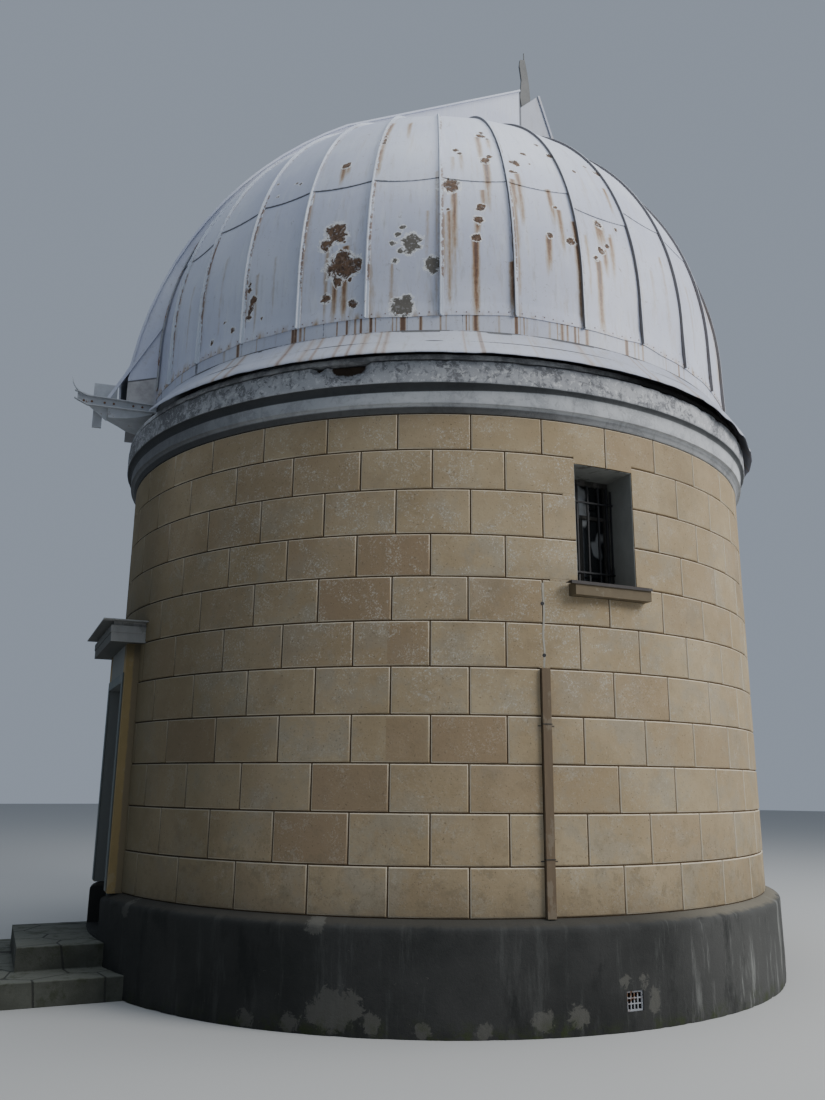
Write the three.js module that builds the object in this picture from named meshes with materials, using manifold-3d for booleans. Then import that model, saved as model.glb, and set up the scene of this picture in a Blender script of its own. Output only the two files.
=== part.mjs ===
import * as THREE from 'three';
import { mergeVertices } from 'three/addons/utils/BufferGeometryUtils.js';
import Module from 'manifold-3d';

// An old observatory: a round rendered tower that carries a turning dome of sheet metal.
// Millimetres, +Z up, ground at z = 0, origin on the tower's axis.
// A bearing is an angle in degrees on the plan, from -Y towards +X.

const wasm = await Module();
wasm.setup();

// Tower
const WALL_R = 3000;
const WALL_INNER_R = 2550;
const STEP_DEG = 4;
const TOWER_STEPS = 360 / STEP_DEG;
const PLINTH_R = 3120;
const PLINTH_TOP = 690;
const PLINTH_CHAMFER = 38;
const SILL_COURSE = 2940;
const WINDOW_HEAD = 3884;
const WALL_TOP = 4210;
const CORNICE_TOP = 4600;
const FLOOR_TOP = 360;
const LOFT_FLOOR = [2400, 2600];
const SECTORS = { front: [-20, 100], back: [100, 220], door: [220, 340] };
const FIT = 0.3;
const CLEAR_Y = [-4000, -2000];
const CLEAR_Z = [-100, 12000];

// Entrance
const DOOR_AT = -65;
const DOOR_HALF = 420;
const DOOR_HEAD = 2340;
const DOOR_FACE = 3060;
const PILASTER_WIDTH = 140;
const LINTEL_TOP = 2655;
const FRAME_WIDTH = 60;
const FRAME_OUTER = 2940;
const FRAME_DEPTH = 80;
const STOP_DEPTH = 25;
const STOP_WIDTH = 15;
const TRANSOM_FOOT = 2110;
const LEAF_OUTER = 2935;
const LEAF_THICK = 45;
const LEAF_HALF = 352;
const LEAF_GAP = 6;
const HINGE = { x: -357.5, y: -2951, r: 9, knuckle: 45, levels: [620, 1780] };
const CANOPY = [
  { half: 655, reach: 3205, foot: 0, top: 75 },
  { half: 660, reach: 3210, foot: 74, top: 132 },
  { half: 640, reach: 3190, foot: 131, top: 168 },
  { half: 706, reach: 3278, foot: 167, top: 178 },
];
const STEPS = [
  { half: 1020, reach: 4000, foot: 0, top: 170 },
  { half: 620, reach: 3680, foot: 169, top: 340 },
];

// Windows, vent and cable cover
const WINDOWS = { front: 25.4, right: 115.4, back: 205.4 };
const WINDOW_HALF = 262;
const SASH_OUTER = 2690;
const SASH_DEPTH = 50;
const SASH_RAIL = 45;
const GLASS_THICK = 8;
const SILL = { half: 332, reach: 3075, top: 2957, foot: 2868 };
const VENT_AT = 25.25;
const VENT_HALF = 65;
const VENT_Z = [120, 245];
const VENT_PLATE = [3098, 3110];
const CABLE = { at: 15.1, width: 62, reach: 3036.5, top: 2337 };

// Dome
const DOME_R = 2950;
const DOME_SHEET = 30;
const DOME_SPRING = 5400;
const DOME_STEPS = 64;
const DOME_ROWS = 12;
const GORE_FOOT = 5060;
const RAIL = { inner: 2780, outer: 2860, top: 4700 };
const RING = { inner: 2700, top: 4740 };
const APRON = { gap: [-92.6, -50], top: 4890, shoulder: 2958, reach: 3190, edge: 4626, foot: 4612, sheet: 14 };
const SLIT_AT = -71.3;
const SLIT_FOOT = 4920;
const SLIT_HALF = 561;
const SLIT_REAR = 1510;
const SHELL_SEAMS = { near: [-71.3, -10.4], right: [-10.4, 57.45], rear: [57.45, 167.575],
  far: [167.575, 222.6375], left: [222.6375, 288.7] };

// Slit hood, drawn in the upright plane of the slit: [outwards from the axis, up], widths across it
const CHEEK = { width: [530, 560.7], rib: 2790, foot: 4920.3, toe: [3166, 5150], rearDeg: 120 };
const COVER = { centre: [-1197, 4642], radius: 4402, from: 8.2, seam: 19.9, to: 57.3, sheet: 20, half: 578,
  lip: [3240, 5098], end: [-840, 9310], stepDeg: 4, gapDeg: 0.004 };
const STAY = { width: [561, 577], sides: [[2894, 5694], [3309, 4921.1], [3339, 4921.9], [2917, 5707]] };
const HOOD = { notch: [-840, 9075], peak: [-1060, 9280], foot: [-1476, 7900], sheet: 24 };
const ARM = { width: [495, 525], rodR: 7, rod: [9700, 9880], rodAt: -925,
  sides: [[-880, 9113], [-862, 9260], [-884, 9500], [-862, 9690], [-872, 9770], [-930, 9780],
    [-960, 9600], [-978, 9450], [-992, 9218]] };

// Lower flap, folded down outside the slit
const FLAP = { top: 4919, thick: 24, plan: [[527, 2700], [527, 3560], [400, 3490], [80, 3340], [-50, 3240],
  [-170, 3160], [-230, 3070], [-270, 2700]] };
const GUSSET = { width: [515, 527], sides: [[3500, 4896], [3479, 4845], [3324, 4722], [3324, 4896]] };
const UPSTAND = { width: [440, 480], from: 3250, to: 3455, top: 5095 };
const HOOK = { width: [455, 485], from: 3366, to: 3445, foot: 4668 };
const BEAM = { width: [561.5, 600], web: 6,
  top: [[2700, 4892], [3300, 4920.5], [3470, 4925], [3612, 4966]],
  foot: [[2700, 4830], [3495, 4832], [3612, 4888]], webEnd: [[3586, 4874], [3588, 4957]] };
const SKIRT = { width: [562, 568],
  sides: [[2925, 4833], [2925, 4819], [3030, 4782], [3141, 4756], [3230, 4745], [3309, 4742], [3317, 4834]] };
const CURL = { at: 3470, top: 5094, radius: 175, sheet: 6, from: -90, to: -6 };

const rad = THREE.MathUtils.degToRad;

const steel = { metalness: 0.6, roughness: 0.5 };
const paint = {
  render: new THREE.MeshStandardMaterial({ color: 0xa68c62, roughness: 0.9 }),
  concrete: new THREE.MeshStandardMaterial({ color: 0x3d3e40, roughness: 0.95 }),
  moulding: new THREE.MeshStandardMaterial({ color: 0x77797c, roughness: 0.85 }),
  dome: new THREE.MeshStandardMaterial({ color: 0xb4bac4, ...steel }),
  iron: new THREE.MeshStandardMaterial({ color: 0x6d7076, ...steel }),
  joinery: new THREE.MeshStandardMaterial({ color: 0x4e5a60, roughness: 0.6 }),
  sash: new THREE.MeshStandardMaterial({ color: 0x2a3238, roughness: 0.3 }),
  sill: new THREE.MeshStandardMaterial({ color: 0x6e5738, roughness: 0.8 }),
};

// Solids, for cutting and joining

function toSolid(geometry) {
  const bare = geometry.clone();
  bare.deleteAttribute('normal');
  bare.deleteAttribute('uv');
  const merged = mergeVertices(bare, 0.001);
  return new wasm.Manifold(new wasm.Mesh({
    numProp: 3,
    vertProperties: new Float32Array(merged.attributes.position.array),
    triVerts: new Uint32Array(merged.index.array),
  }));
}

function toGeometry(solid) {
  const mesh = solid.getMesh();
  const geometry = new THREE.BufferGeometry();
  geometry.setAttribute('position', new THREE.BufferAttribute(mesh.vertProperties, 3));
  geometry.setIndex(new THREE.BufferAttribute(mesh.triVerts, 1));
  geometry.computeVertexNormals();
  return geometry;
}

function cut(body, ...tools) {
  return toGeometry(tools.reduce((left, tool) => left.subtract(toSolid(tool)), toSolid(body)));
}

function join(body, ...more) {
  return toGeometry(more.reduce((sum, part) => sum.add(toSolid(part)), toSolid(body)));
}

function keep(body, tool) {
  return toGeometry(toSolid(body).intersect(toSolid(tool)));
}

// Plain shapes

function outline(points) {
  return new THREE.Shape(points.map(([x, y]) => new THREE.Vector2(x, y)));
}

function slab(shape, low, high) {
  const geometry = new THREE.ExtrudeGeometry(shape, { depth: high - low, bevelEnabled: false });
  geometry.translate(0, 0, low);
  return geometry;
}

function block(x, y, z) {
  const geometry = new THREE.BoxGeometry(x[1] - x[0], y[1] - y[0], z[1] - z[0]);
  geometry.translate((x[0] + x[1]) / 2, (y[0] + y[1]) / 2, (z[0] + z[1]) / 2);
  return geometry;
}

function turned(profile, steps) {
  const geometry = new THREE.LatheGeometry(profile.map(([r, z]) => new THREE.Vector2(r, z)), steps);
  geometry.rotateX(Math.PI / 2);
  return geometry;
}

// A solid round body on the tower's axis, for shaping what stands against it.
function round(radius, low, high, steps) {
  return turned([[0, low], [radius, low], [radius, high], [0, high]], steps);
}

function turn(geometry, bearing) {
  geometry.rotateZ(rad(bearing));
  return geometry;
}

const onPlan = (radius, bearing) => [radius * Math.sin(rad(bearing)), -radius * Math.cos(rad(bearing))];

// A wedge of plan between two bearings, drawn in by half the fit on both sides.
function wedge([from, to], low, high) {
  const far = 6000;
  const half = (to - from) / 2;
  const shift = onPlan(FIT / 2 / Math.sin(rad(half)), from + half);
  const rim = [0, 0.5, 1, 1.5, 2].map((part) => onPlan(far, from + part * half));
  return slab(outline([[0, 0], ...rim].map(([x, y]) => [x + shift[0], y + shift[1]])), low, high);
}

// A sheet in an upright plane: points are [outwards, up], and the width runs along the tangent.
function plate(points, width) {
  const geometry = slab(outline(points), 0, width[1] - width[0]);
  const outwards = new THREE.Vector3(0, -1, 0);
  const up = new THREE.Vector3(0, 0, 1);
  geometry.applyMatrix4(new THREE.Matrix4().makeBasis(outwards, up, outwards.clone().cross(up)));
  geometry.translate(width[1], 0, 0);
  return geometry;
}

// A panel that faces outwards: its outline is [along the tangent, up].
function panel(shape, outer, depth) {
  const geometry = slab(shape, 0, depth);
  geometry.rotateX(Math.PI / 2);
  geometry.translate(0, depth - outer, 0);
  return geometry;
}

function rod(x, y, radius, low, high) {
  const geometry = new THREE.CylinderGeometry(radius, radius, high - low, 12);
  geometry.rotateX(Math.PI / 2);
  geometry.translate(x, y, (low + high) / 2);
  return geometry;
}

const mirrored = ([low, high]) => [-high, -low];

const group = new THREE.Group();

function add(parent, name, geometry, material) {
  const mesh = new THREE.Mesh(geometry, material);
  mesh.name = name;
  parent.add(mesh);
}

function facing(bearing) {
  const turnedGroup = new THREE.Group();
  turnedGroup.rotation.z = rad(bearing);
  group.add(turnedGroup);
  return turnedGroup;
}

// Tower

function addFloors() {
  const radius = WALL_INNER_R - FIT;
  add(group, 'ground_floor', round(radius, 0, FLOOR_TOP, TOWER_STEPS), paint.concrete);
  add(group, 'loft_floor', round(radius, ...LOFT_FLOOR, TOWER_STEPS), paint.concrete);
}

// A ring of the tower, set down in three lengths with their own holes.
function addLengths(prefix, ring, holes, material) {
  for (const [name, bearings] of Object.entries(SECTORS)) {
    const length = keep(ring, wedge(bearings, ...CLEAR_Z));
    add(group, `${prefix}_${name}`, cut(length, ...(holes[name] ?? [])), material);
  }
}

function wallRing(low, high) {
  return turned([
    [WALL_INNER_R, low],
    [WALL_R, low],
    [WALL_R, high],
    [WALL_INNER_R, high],
    [WALL_INNER_R, low],
  ], TOWER_STEPS);
}

function addPlinth() {
  const ring = turned([
    [WALL_INNER_R, 0],
    [PLINTH_R, 0],
    [PLINTH_R, PLINTH_TOP - PLINTH_CHAMFER],
    [WALL_R + 8, PLINTH_TOP],
    [WALL_INNER_R, PLINTH_TOP],
    [WALL_INNER_R, 0],
  ], TOWER_STEPS);
  const vent = turn(block([-VENT_HALF, VENT_HALF], CLEAR_Y, VENT_Z), VENT_AT);
  const doorway = turn(block([-DOOR_HALF, DOOR_HALF], CLEAR_Y, [FLOOR_TOP, 2 * PLINTH_TOP]), DOOR_AT);
  addLengths('plinth', ring, { front: [vent], door: [doorway] }, paint.concrete);
}

function addWalls() {
  const lower = wallRing(PLINTH_TOP, SILL_COURSE);
  const doorway = turn(block([-DOOR_HALF, DOOR_HALF], CLEAR_Y, CLEAR_Z), DOOR_AT);
  const [left, right] = SECTORS.door;
  const lengths = {
    wall_front: SECTORS.front,
    wall_back: SECTORS.back,
    wall_beside_door_left: [left, 360 + DOOR_AT],
    wall_beside_door_right: [360 + DOOR_AT, right],
  };
  for (const [name, bearings] of Object.entries(lengths)) {
    add(group, name, cut(keep(lower, wedge(bearings, ...CLEAR_Z)), doorway), paint.render);
  }
  const between = DOOR_HALF - FIT;
  const over = turn(block([-between, between], CLEAR_Y, [DOOR_HEAD, WALL_TOP]), DOOR_AT);
  add(group, 'wall_over_door', keep(lower, over), paint.render);
  const hole = (bearing) => {
    const z = [SILL_COURSE - 100, WINDOW_HEAD];
    return turn(block([-WINDOW_HALF, WINDOW_HALF], CLEAR_Y, z), bearing);
  };
  const holes = { front: [hole(WINDOWS.front)], back: [hole(WINDOWS.right), hole(WINDOWS.back)] };
  addLengths('upper_wall', wallRing(SILL_COURSE, WALL_TOP), holes, paint.render);
}

function addCornice() {
  const ring = turned([
    [WALL_INNER_R, WALL_TOP],
    [WALL_R + 12, WALL_TOP],
    [WALL_R + 16, WALL_TOP + 16],
    [WALL_R + 36, WALL_TOP + 54],
    [WALL_R + 62, WALL_TOP + 68],
    [WALL_R + 62, WALL_TOP + 154],
    [WALL_R + 74, WALL_TOP + 190],
    [WALL_R + 104, WALL_TOP + 208],
    [WALL_R + 106, CORNICE_TOP - 16],
    [WALL_R + 80, CORNICE_TOP],
    [WALL_INNER_R, CORNICE_TOP],
    [WALL_INNER_R, WALL_TOP],
  ], TOWER_STEPS);
  addLengths('cornice', ring, {}, paint.moulding);
  add(group, 'dome_rail', turned([
    [RAIL.inner, CORNICE_TOP],
    [RAIL.outer, CORNICE_TOP],
    [RAIL.outer, RAIL.top],
    [RAIL.inner, RAIL.top],
    [RAIL.inner, CORNICE_TOP],
  ], DOME_STEPS), paint.iron);
}

// Entrance

function addEntrance() {
  const entrance = facing(DOOR_AT);
  const wallFace = turn(round(WALL_R + FIT, 0, 2 * CORNICE_TOP, TOWER_STEPS), -DOOR_AT);
  const plinthFace = turn(round(PLINTH_R + FIT, -PLINTH_TOP, PLINTH_TOP, TOWER_STEPS), -DOOR_AT);
  const outer = DOOR_HALF + PILASTER_WIDTH;
  const foot = PLINTH_TOP + FIT;
  const surround = panel(outline([
    [-outer, foot],
    [-DOOR_HALF, foot],
    [-DOOR_HALF, DOOR_HEAD],
    [DOOR_HALF, DOOR_HEAD],
    [DOOR_HALF, foot],
    [outer, foot],
    [outer, LINTEL_TOP],
    [-outer, LINTEL_TOP],
  ]), DOOR_FACE, DOOR_FACE - WALL_INNER_R);
  add(entrance, 'door_surround', cut(surround, wallFace), paint.render);
  const bands = CANOPY.map(({ half, reach, foot: low, top }) => {
    return block([-half, half], [-reach, -WALL_INNER_R], [LINTEL_TOP + low, LINTEL_TOP + top]);
  });
  add(entrance, 'door_canopy', cut(join(...bands), wallFace), paint.moulding);
  const steps = STEPS.map(({ half, reach, foot: low, top }) => {
    return block([-half, half], [-reach, -WALL_INNER_R], [low, top]);
  });
  add(entrance, 'door_steps', cut(join(...steps), plinthFace), paint.concrete);
  addDoorFrame(entrance);
  addDoorLeaf(entrance);
}

function addDoorFrame(entrance) {
  const side = DOOR_HALF - FIT;
  const head = DOOR_HEAD - FIT;
  const foot = FLOOR_TOP + FIT;
  const portal = (inner, top) => outline([
    [-side, foot],
    [-inner, foot],
    [-inner, top],
    [inner, top],
    [inner, foot],
    [side, foot],
    [side, head],
    [-side, head],
  ]);
  const opening = DOOR_HALF - FRAME_WIDTH;
  const frame = panel(portal(opening, TRANSOM_FOOT), FRAME_OUTER, FRAME_DEPTH);
  const stopOuter = FRAME_OUTER - FRAME_DEPTH + STOP_DEPTH;
  const stop = panel(portal(opening - STOP_WIDTH, TRANSOM_FOOT - STOP_WIDTH), stopOuter, STOP_DEPTH);
  const knuckles = HINGE.levels.flatMap((level) => {
    const z = [level - HINGE.knuckle, level];
    const strap = block([HINGE.x - 55, HINGE.x], [HINGE.y + 6, 1 - FRAME_OUTER], z);
    return [strap, rod(HINGE.x, HINGE.y, HINGE.r, ...z)];
  });
  add(entrance, 'door_frame', join(frame, stop, ...knuckles), paint.joinery);
}

function addDoorLeaf(entrance) {
  const height = [FLOOR_TOP + LEAF_GAP, TRANSOM_FOOT - LEAF_GAP];
  const leaf = block([-LEAF_HALF, LEAF_HALF], [-LEAF_OUTER, LEAF_THICK - LEAF_OUTER], height);
  const knuckles = HINGE.levels.flatMap((level) => {
    const z = [level + FIT, level + HINGE.knuckle];
    const strap = block([HINGE.x, HINGE.x + 65], [HINGE.y + 6, 1 - LEAF_OUTER], z);
    return [strap, rod(HINGE.x, HINGE.y, HINGE.r, ...z)];
  });
  add(entrance, 'door_leaf', join(leaf, ...knuckles), paint.joinery);
}

// Windows, vent and cable cover

function addWindow(name, bearing) {
  const bay = facing(bearing);
  const half = WINDOW_HALF - FIT;
  const z = [SILL.top + FIT, WINDOW_HEAD - FIT];
  const depth = [-SASH_OUTER, SASH_DEPTH - SASH_OUTER];
  const lights = [[SASH_RAIL - half, -SASH_RAIL / 2], [SASH_RAIL / 2, half - SASH_RAIL]];
  const holes = lights.map((light) => block(light, CLEAR_Y, [z[0] + SASH_RAIL, z[1] - SASH_RAIL]));
  const frame = cut(block([-half, half], depth, z), ...holes);
  const middle = (depth[0] + depth[1]) / 2;
  const pane = block(
    [SASH_RAIL / 2 - half, half - SASH_RAIL / 2],
    [middle - GLASS_THICK / 2, middle + GLASS_THICK / 2],
    [z[0] + SASH_RAIL / 2, z[1] - SASH_RAIL / 2],
  );
  add(bay, `window_${name}`, join(frame, pane), paint.sash);
  const wallFace = turn(round(WALL_R + FIT, 0, 2 * CORNICE_TOP, TOWER_STEPS), -bearing);
  const nose = cut(block([-SILL.half, SILL.half], [-SILL.reach, -WALL_INNER_R], [SILL.foot, SILL.top]), wallFace);
  const seat = block([-half, half], [-WALL_R - 30, SASH_DEPTH - SASH_OUTER], [SILL_COURSE + FIT, SILL.top]);
  add(bay, `sill_${name}`, join(nose, seat), paint.sill);
}

function addVentAndCable() {
  const half = VENT_HALF - FIT;
  const [inner, outer] = VENT_PLATE;
  const grille = block([-half, half], [-outer, -inner], [VENT_Z[0] + FIT, VENT_Z[1] - FIT]);
  add(facing(VENT_AT), 'vent_grille', grille, paint.iron);
  const wallFace = turn(round(WALL_R + FIT, 0, 2 * CORNICE_TOP, TOWER_STEPS), -CABLE.at);
  const side = CABLE.width / 2;
  const cover = block([-side, side], [-CABLE.reach, -WALL_INNER_R], [PLINTH_TOP + FIT, CABLE.top]);
  add(facing(CABLE.at), 'cable_cover', cut(cover, wallFace), paint.sill);
}

// Dome: the ring that runs on the rail, its rain apron and the shell of gores

const slit = facing(SLIT_AT);

function addDomeShell() {
  const slot = turn(block([-SLIT_HALF, SLIT_HALF], [-2 * DOME_R, SLIT_REAR], [SLIT_FOOT, 4 * DOME_R]), SLIT_AT);
  const inner = DOME_R - DOME_SHEET;
  const ring = turned([
    [RING.inner, RAIL.top + FIT],
    [DOME_R, RAIL.top + FIT],
    [DOME_R, GORE_FOOT],
    [inner, GORE_FOOT],
    [inner, RING.top],
    [RING.inner, RING.top],
    [RING.inner, RAIL.top + FIT],
  ], DOME_STEPS);
  add(group, 'dome_ring', cut(ring, slot), paint.iron);
  const apron = turned([
    [DOME_R + FIT, APRON.top - APRON.sheet],
    [APRON.reach - APRON.sheet / 2, APRON.foot],
    [APRON.reach, APRON.foot],
    [APRON.reach, APRON.edge],
    [APRON.shoulder, APRON.top],
    [DOME_R + FIT, APRON.top],
    [DOME_R + FIT, APRON.top - APRON.sheet],
  ], DOME_STEPS);
  add(group, 'dome_apron', cut(apron, wedge(APRON.gap, 0, 2 * DOME_R)), paint.dome);
  const bow = (radius) => Array.from({ length: DOME_ROWS + 1 }, (_, row) => {
    const angle = (row / DOME_ROWS) * (Math.PI / 2);
    return [row === DOME_ROWS ? 0 : radius * Math.cos(angle), DOME_SPRING + radius * Math.sin(angle)];
  });
  const shell = turned([
    ...bow(inner).reverse(),
    [inner, GORE_FOOT + FIT],
    [DOME_R, GORE_FOOT + FIT],
    ...bow(DOME_R),
  ], DOME_STEPS);
  const open = cut(shell, slot);
  for (const [name, bearings] of Object.entries(SHELL_SEAMS)) {
    add(group, `gores_${name}`, keep(open, wedge(bearings, 0, 4 * DOME_R)), paint.dome);
  }
}

// Slit hood: upright cheeks along the slit, the closed shutter over them and the box behind

const at = (base, direction, length) => [base[0] + direction[0] * length, base[1] + direction[1] * length];

function normalOf(from, to) {
  const length = Math.hypot(to[0] - from[0], to[1] - from[1]);
  return [(to[1] - from[1]) / length, -(to[0] - from[0]) / length];
}

function onCover(degrees, inset) {
  const radius = COVER.radius - inset;
  return at(COVER.centre, [Math.cos(rad(degrees)), Math.sin(rad(degrees))], radius);
}

function coverArc(from, to, inset) {
  const steps = Math.ceil((to - from) / COVER.stepDeg);
  return Array.from({ length: steps + 1 }, (_, step) => onCover(from + (step / steps) * (to - from), inset));
}

function lipPoint(inset) {
  return at(COVER.lip, normalOf(COVER.lip, onCover(COVER.from, 0)), -inset);
}

function endPoint(inset) {
  const drop = inset / Math.cos(Math.atan2(COVER.end[1] - onCover(COVER.to, 0)[1], 2020));
  return [COVER.end[0], COVER.end[1] - drop];
}

function sheetBetween(curve) {
  return [...curve(0), ...curve(COVER.sheet).reverse()];
}

function addShutter() {
  const across = [-COVER.half, COVER.half];
  const lower = plate(sheetBetween((inset) => [lipPoint(inset), ...coverArc(COVER.from, COVER.seam - COVER.gapDeg, inset)]), across);
  add(slit, 'shutter_lower', join(lower, plate(STAY.sides, STAY.width)), paint.dome);
  const middle = sheetBetween((inset) => coverArc(COVER.seam, COVER.to - COVER.gapDeg, inset));
  add(slit, 'shutter_middle', plate(middle, across), paint.dome);
  const upper = sheetBetween((inset) => [onCover(COVER.to, inset), endPoint(inset)]);
  const between = CHEEK.width[0] - FIT;
  const stopZ = [HOOD.notch[1] + HOOD.sheet, COVER.end[1] - COVER.sheet / 2];
  const end = block([-between, between], [-COVER.end[0] - COVER.sheet, -COVER.end[0]], stopZ);
  add(slit, 'shutter_upper', join(plate(upper, across), end), paint.dome);
}

function addCheeks() {
  const ribSteps = 30;
  const rib = Array.from({ length: ribSteps + 1 }, (_, step) => {
    const angle = rad((step / ribSteps) * CHEEK.rearDeg);
    return [CHEEK.rib * Math.cos(angle), DOME_SPRING + CHEEK.rib * Math.sin(angle)];
  });
  const inset = COVER.sheet + FIT;
  const shape = [
    [CHEEK.rib, CHEEK.foot],
    [CHEEK.toe[0], CHEEK.foot],
    CHEEK.toe,
    ...coverArc(COVER.from, COVER.seam, inset),
    ...coverArc(COVER.seam, COVER.to, inset).slice(1),
    endPoint(inset),
    HOOD.notch,
    HOOD.peak,
    HOOD.foot,
    ...rib.reverse(),
  ];
  add(slit, 'slit_cheek_near', plate(shape, CHEEK.width), paint.dome);
  add(slit, 'slit_cheek_far', plate(shape, mirrored(CHEEK.width)), paint.dome);
}

function addHood() {
  const rear = normalOf(HOOD.foot, HOOD.peak).map((part) => -part);
  const back = plate([
    at(HOOD.peak, rear, FIT),
    at(HOOD.peak, rear, HOOD.sheet),
    at(HOOD.foot, rear, HOOD.sheet),
    at(HOOD.foot, rear, FIT),
  ], [-COVER.half, COVER.half]);
  const down = normalOf(HOOD.notch, HOOD.peak).map((part) => -part);
  const between = CHEEK.width[0] - FIT;
  const rim = at(HOOD.peak, rear, 2 * FIT);
  const top = plate([
    HOOD.notch,
    rim,
    at(rim, down, HOOD.sheet),
    at(HOOD.notch, down, HOOD.sheet),
  ], [-between, between]);
  add(slit, 'hood_back', join(back, top), paint.dome);
  for (const [name, sign] of [['near', 1], ['far', -1]]) {
    const width = sign > 0 ? ARM.width : mirrored(ARM.width);
    const middle = (width[0] + width[1]) / 2;
    const arm = join(plate(ARM.sides, width), rod(middle, -ARM.rodAt, ARM.rodR, ...ARM.rod));
    add(slit, `guide_arm_${name}`, arm, paint.iron);
  }
}

// Lower flap: a floor with a slanting edge, an upright board on it and the side beam with its upturned end

function band(line, thick) {
  return [...line, ...line.map(([s, z]) => [s, z + thick]).reverse()];
}

function addFlap() {
  const ringFace = turn(round(DOME_R + FIT, 0, 2 * DOME_R, DOME_STEPS), -SLIT_AT);
  const along = (from, to) => [-to, -from];
  const floor = slab(outline(FLAP.plan.map(([across, out]) => [across, -out])), FLAP.top - FLAP.thick, FLAP.top);
  const board = block(UPSTAND.width, along(UPSTAND.from, UPSTAND.to), [FLAP.top - 1, UPSTAND.top]);
  const hook = block(HOOK.width, along(HOOK.from, HOOK.to), [HOOK.foot, FLAP.top - 1]);
  const gusset = plate(GUSSET.sides, GUSSET.width);
  add(slit, 'flap_floor', join(cut(floor, ringFace), board, hook, gusset), paint.iron);
  const [inside, outside] = BEAM.width;
  const web = [...BEAM.foot.slice(0, -1), ...BEAM.webEnd, ...BEAM.top.slice(0, -1).reverse()];
  const curlArc = (radius) => Array.from({ length: 9 }, (_, step) => {
    const angle = rad(CURL.from + (step / 8) * (CURL.to - CURL.from));
    return at([CURL.at, CURL.top], [Math.cos(angle), Math.sin(angle)], radius);
  });
  const beam = join(
    plate(web, [inside, inside + BEAM.web]),
    plate(band(BEAM.foot, BEAM.web), BEAM.width),
    plate(band(BEAM.top.map(([s, z]) => [s, z - BEAM.web]), BEAM.web), BEAM.width),
    plate(SKIRT.sides, SKIRT.width),
    plate([...curlArc(CURL.radius), ...curlArc(CURL.radius - CURL.sheet).reverse()], [inside, outside]),
  );
  add(slit, 'flap_beam', cut(beam, ringFace), paint.iron);
}

addFloors();
addPlinth();
addWalls();
addCornice();
addEntrance();
for (const [name, bearing] of Object.entries(WINDOWS)) addWindow(name, bearing);
addVentAndCable();
addDomeShell();
addShutter();
addCheeks();
addHood();
addFlap();

export default group;
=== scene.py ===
# %% [markdown]
# # An old observatory with a turning dome
#
# This lesson dresses a small observatory: a round tower of rendered blocks on a dark plinth,
# a stepped entrance, barred windows, and a dome of painted sheet metal that turns on a rail.
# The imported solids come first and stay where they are. Everything made here is fitted round
# them, in metres, with the tower's axis on the world's Z axis.

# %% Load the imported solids
import math
import random

import bmesh
import bpy
from mathutils import Matrix, Vector, noise


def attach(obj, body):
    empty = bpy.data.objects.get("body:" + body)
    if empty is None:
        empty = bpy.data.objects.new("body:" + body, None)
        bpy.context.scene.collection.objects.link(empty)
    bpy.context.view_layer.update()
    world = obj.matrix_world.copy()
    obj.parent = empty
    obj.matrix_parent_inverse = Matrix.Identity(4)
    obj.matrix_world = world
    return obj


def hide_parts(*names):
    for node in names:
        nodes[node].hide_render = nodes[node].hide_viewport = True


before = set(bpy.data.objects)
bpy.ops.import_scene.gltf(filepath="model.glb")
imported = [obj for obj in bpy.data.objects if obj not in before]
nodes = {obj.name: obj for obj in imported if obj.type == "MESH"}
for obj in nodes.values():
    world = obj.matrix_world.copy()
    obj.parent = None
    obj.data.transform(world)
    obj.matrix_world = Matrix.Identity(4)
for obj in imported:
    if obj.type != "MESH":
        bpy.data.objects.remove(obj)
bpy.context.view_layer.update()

# %% [markdown]
# ## Places on a round building
#
# On a round tower it is easiest to say where a thing is by its bearing: the angle on the plan
# from the viewer's side, positive towards the right. Small parts are made flat, facing the
# viewer, and then either turned to their bearing or wrapped round the tower. Wrapping reads a
# flat sheet's x as a length along the wall, so a block keeps its real size when it is bent.

# %% Bearings, turning and wrapping
WALL = 3.0
PLINTH = 3.12
DOME = 2.95
SPRING = 5.4
SLIT = -71.3
DOOR = -65
WINDOWS = {"front": 25.4, "right": 115.4, "back": 205.4}
VENT = 25.25
CABLE = 15.1


def at(bearing, radius, height):
    angle = math.radians(bearing)
    return Vector((radius * math.sin(angle), -radius * math.cos(angle), height))


def turned(bearing):
    return Matrix.Rotation(math.radians(bearing), 4, "Z")


def on_face(bearing, radius, height):
    """Moves a shape made at the origin onto a round face, and turns it outwards."""
    return Matrix.Translation(at(bearing, radius, height)) @ turned(bearing)


def half_angle(half_width, radius):
    return math.degrees(math.asin(half_width / radius))


def wrap(shape, radius):
    for vertex in shape.verts:
        vertex.co = at(math.degrees(vertex.co.x / radius), -vertex.co.y, vertex.co.z)


def bearing_of(place):
    """A bearing from -92 to 268, so that the count starts at the slit and never jumps in view."""
    return (math.degrees(math.atan2(place.x, -place.y)) + 92) % 360 - 92


def between(value, points):
    """Reads a line given as (place, value) points, straight from one point to the next."""
    if value <= points[0][0]:
        return points[0][1]
    for (start, first), (end, last) in zip(points, points[1:]):
        if value <= end:
            return first + (last - first) * (value - start) / (end - start)
    return points[-1][1]


print("a degree of the wall is", round(math.radians(1) * WALL * 1000, 1), "mm long")

# %% [markdown]
# ## Marks that have a place
#
# Most weathering is noise, but some marks have a place: a run of rust under one nail, a bald
# patch by one rib. They could be painted by hand. Here each is a line of numbers, a bearing and
# heights, and a soft attribute is stored on the vertices near it. The finish then roughens its
# edge. The attribute says where, the noise says how.

# %% Spots and runs
def apart(first, second):
    return abs((first - second + 180) % 360 - 180)


SPOT_FADE = 2.6


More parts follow.
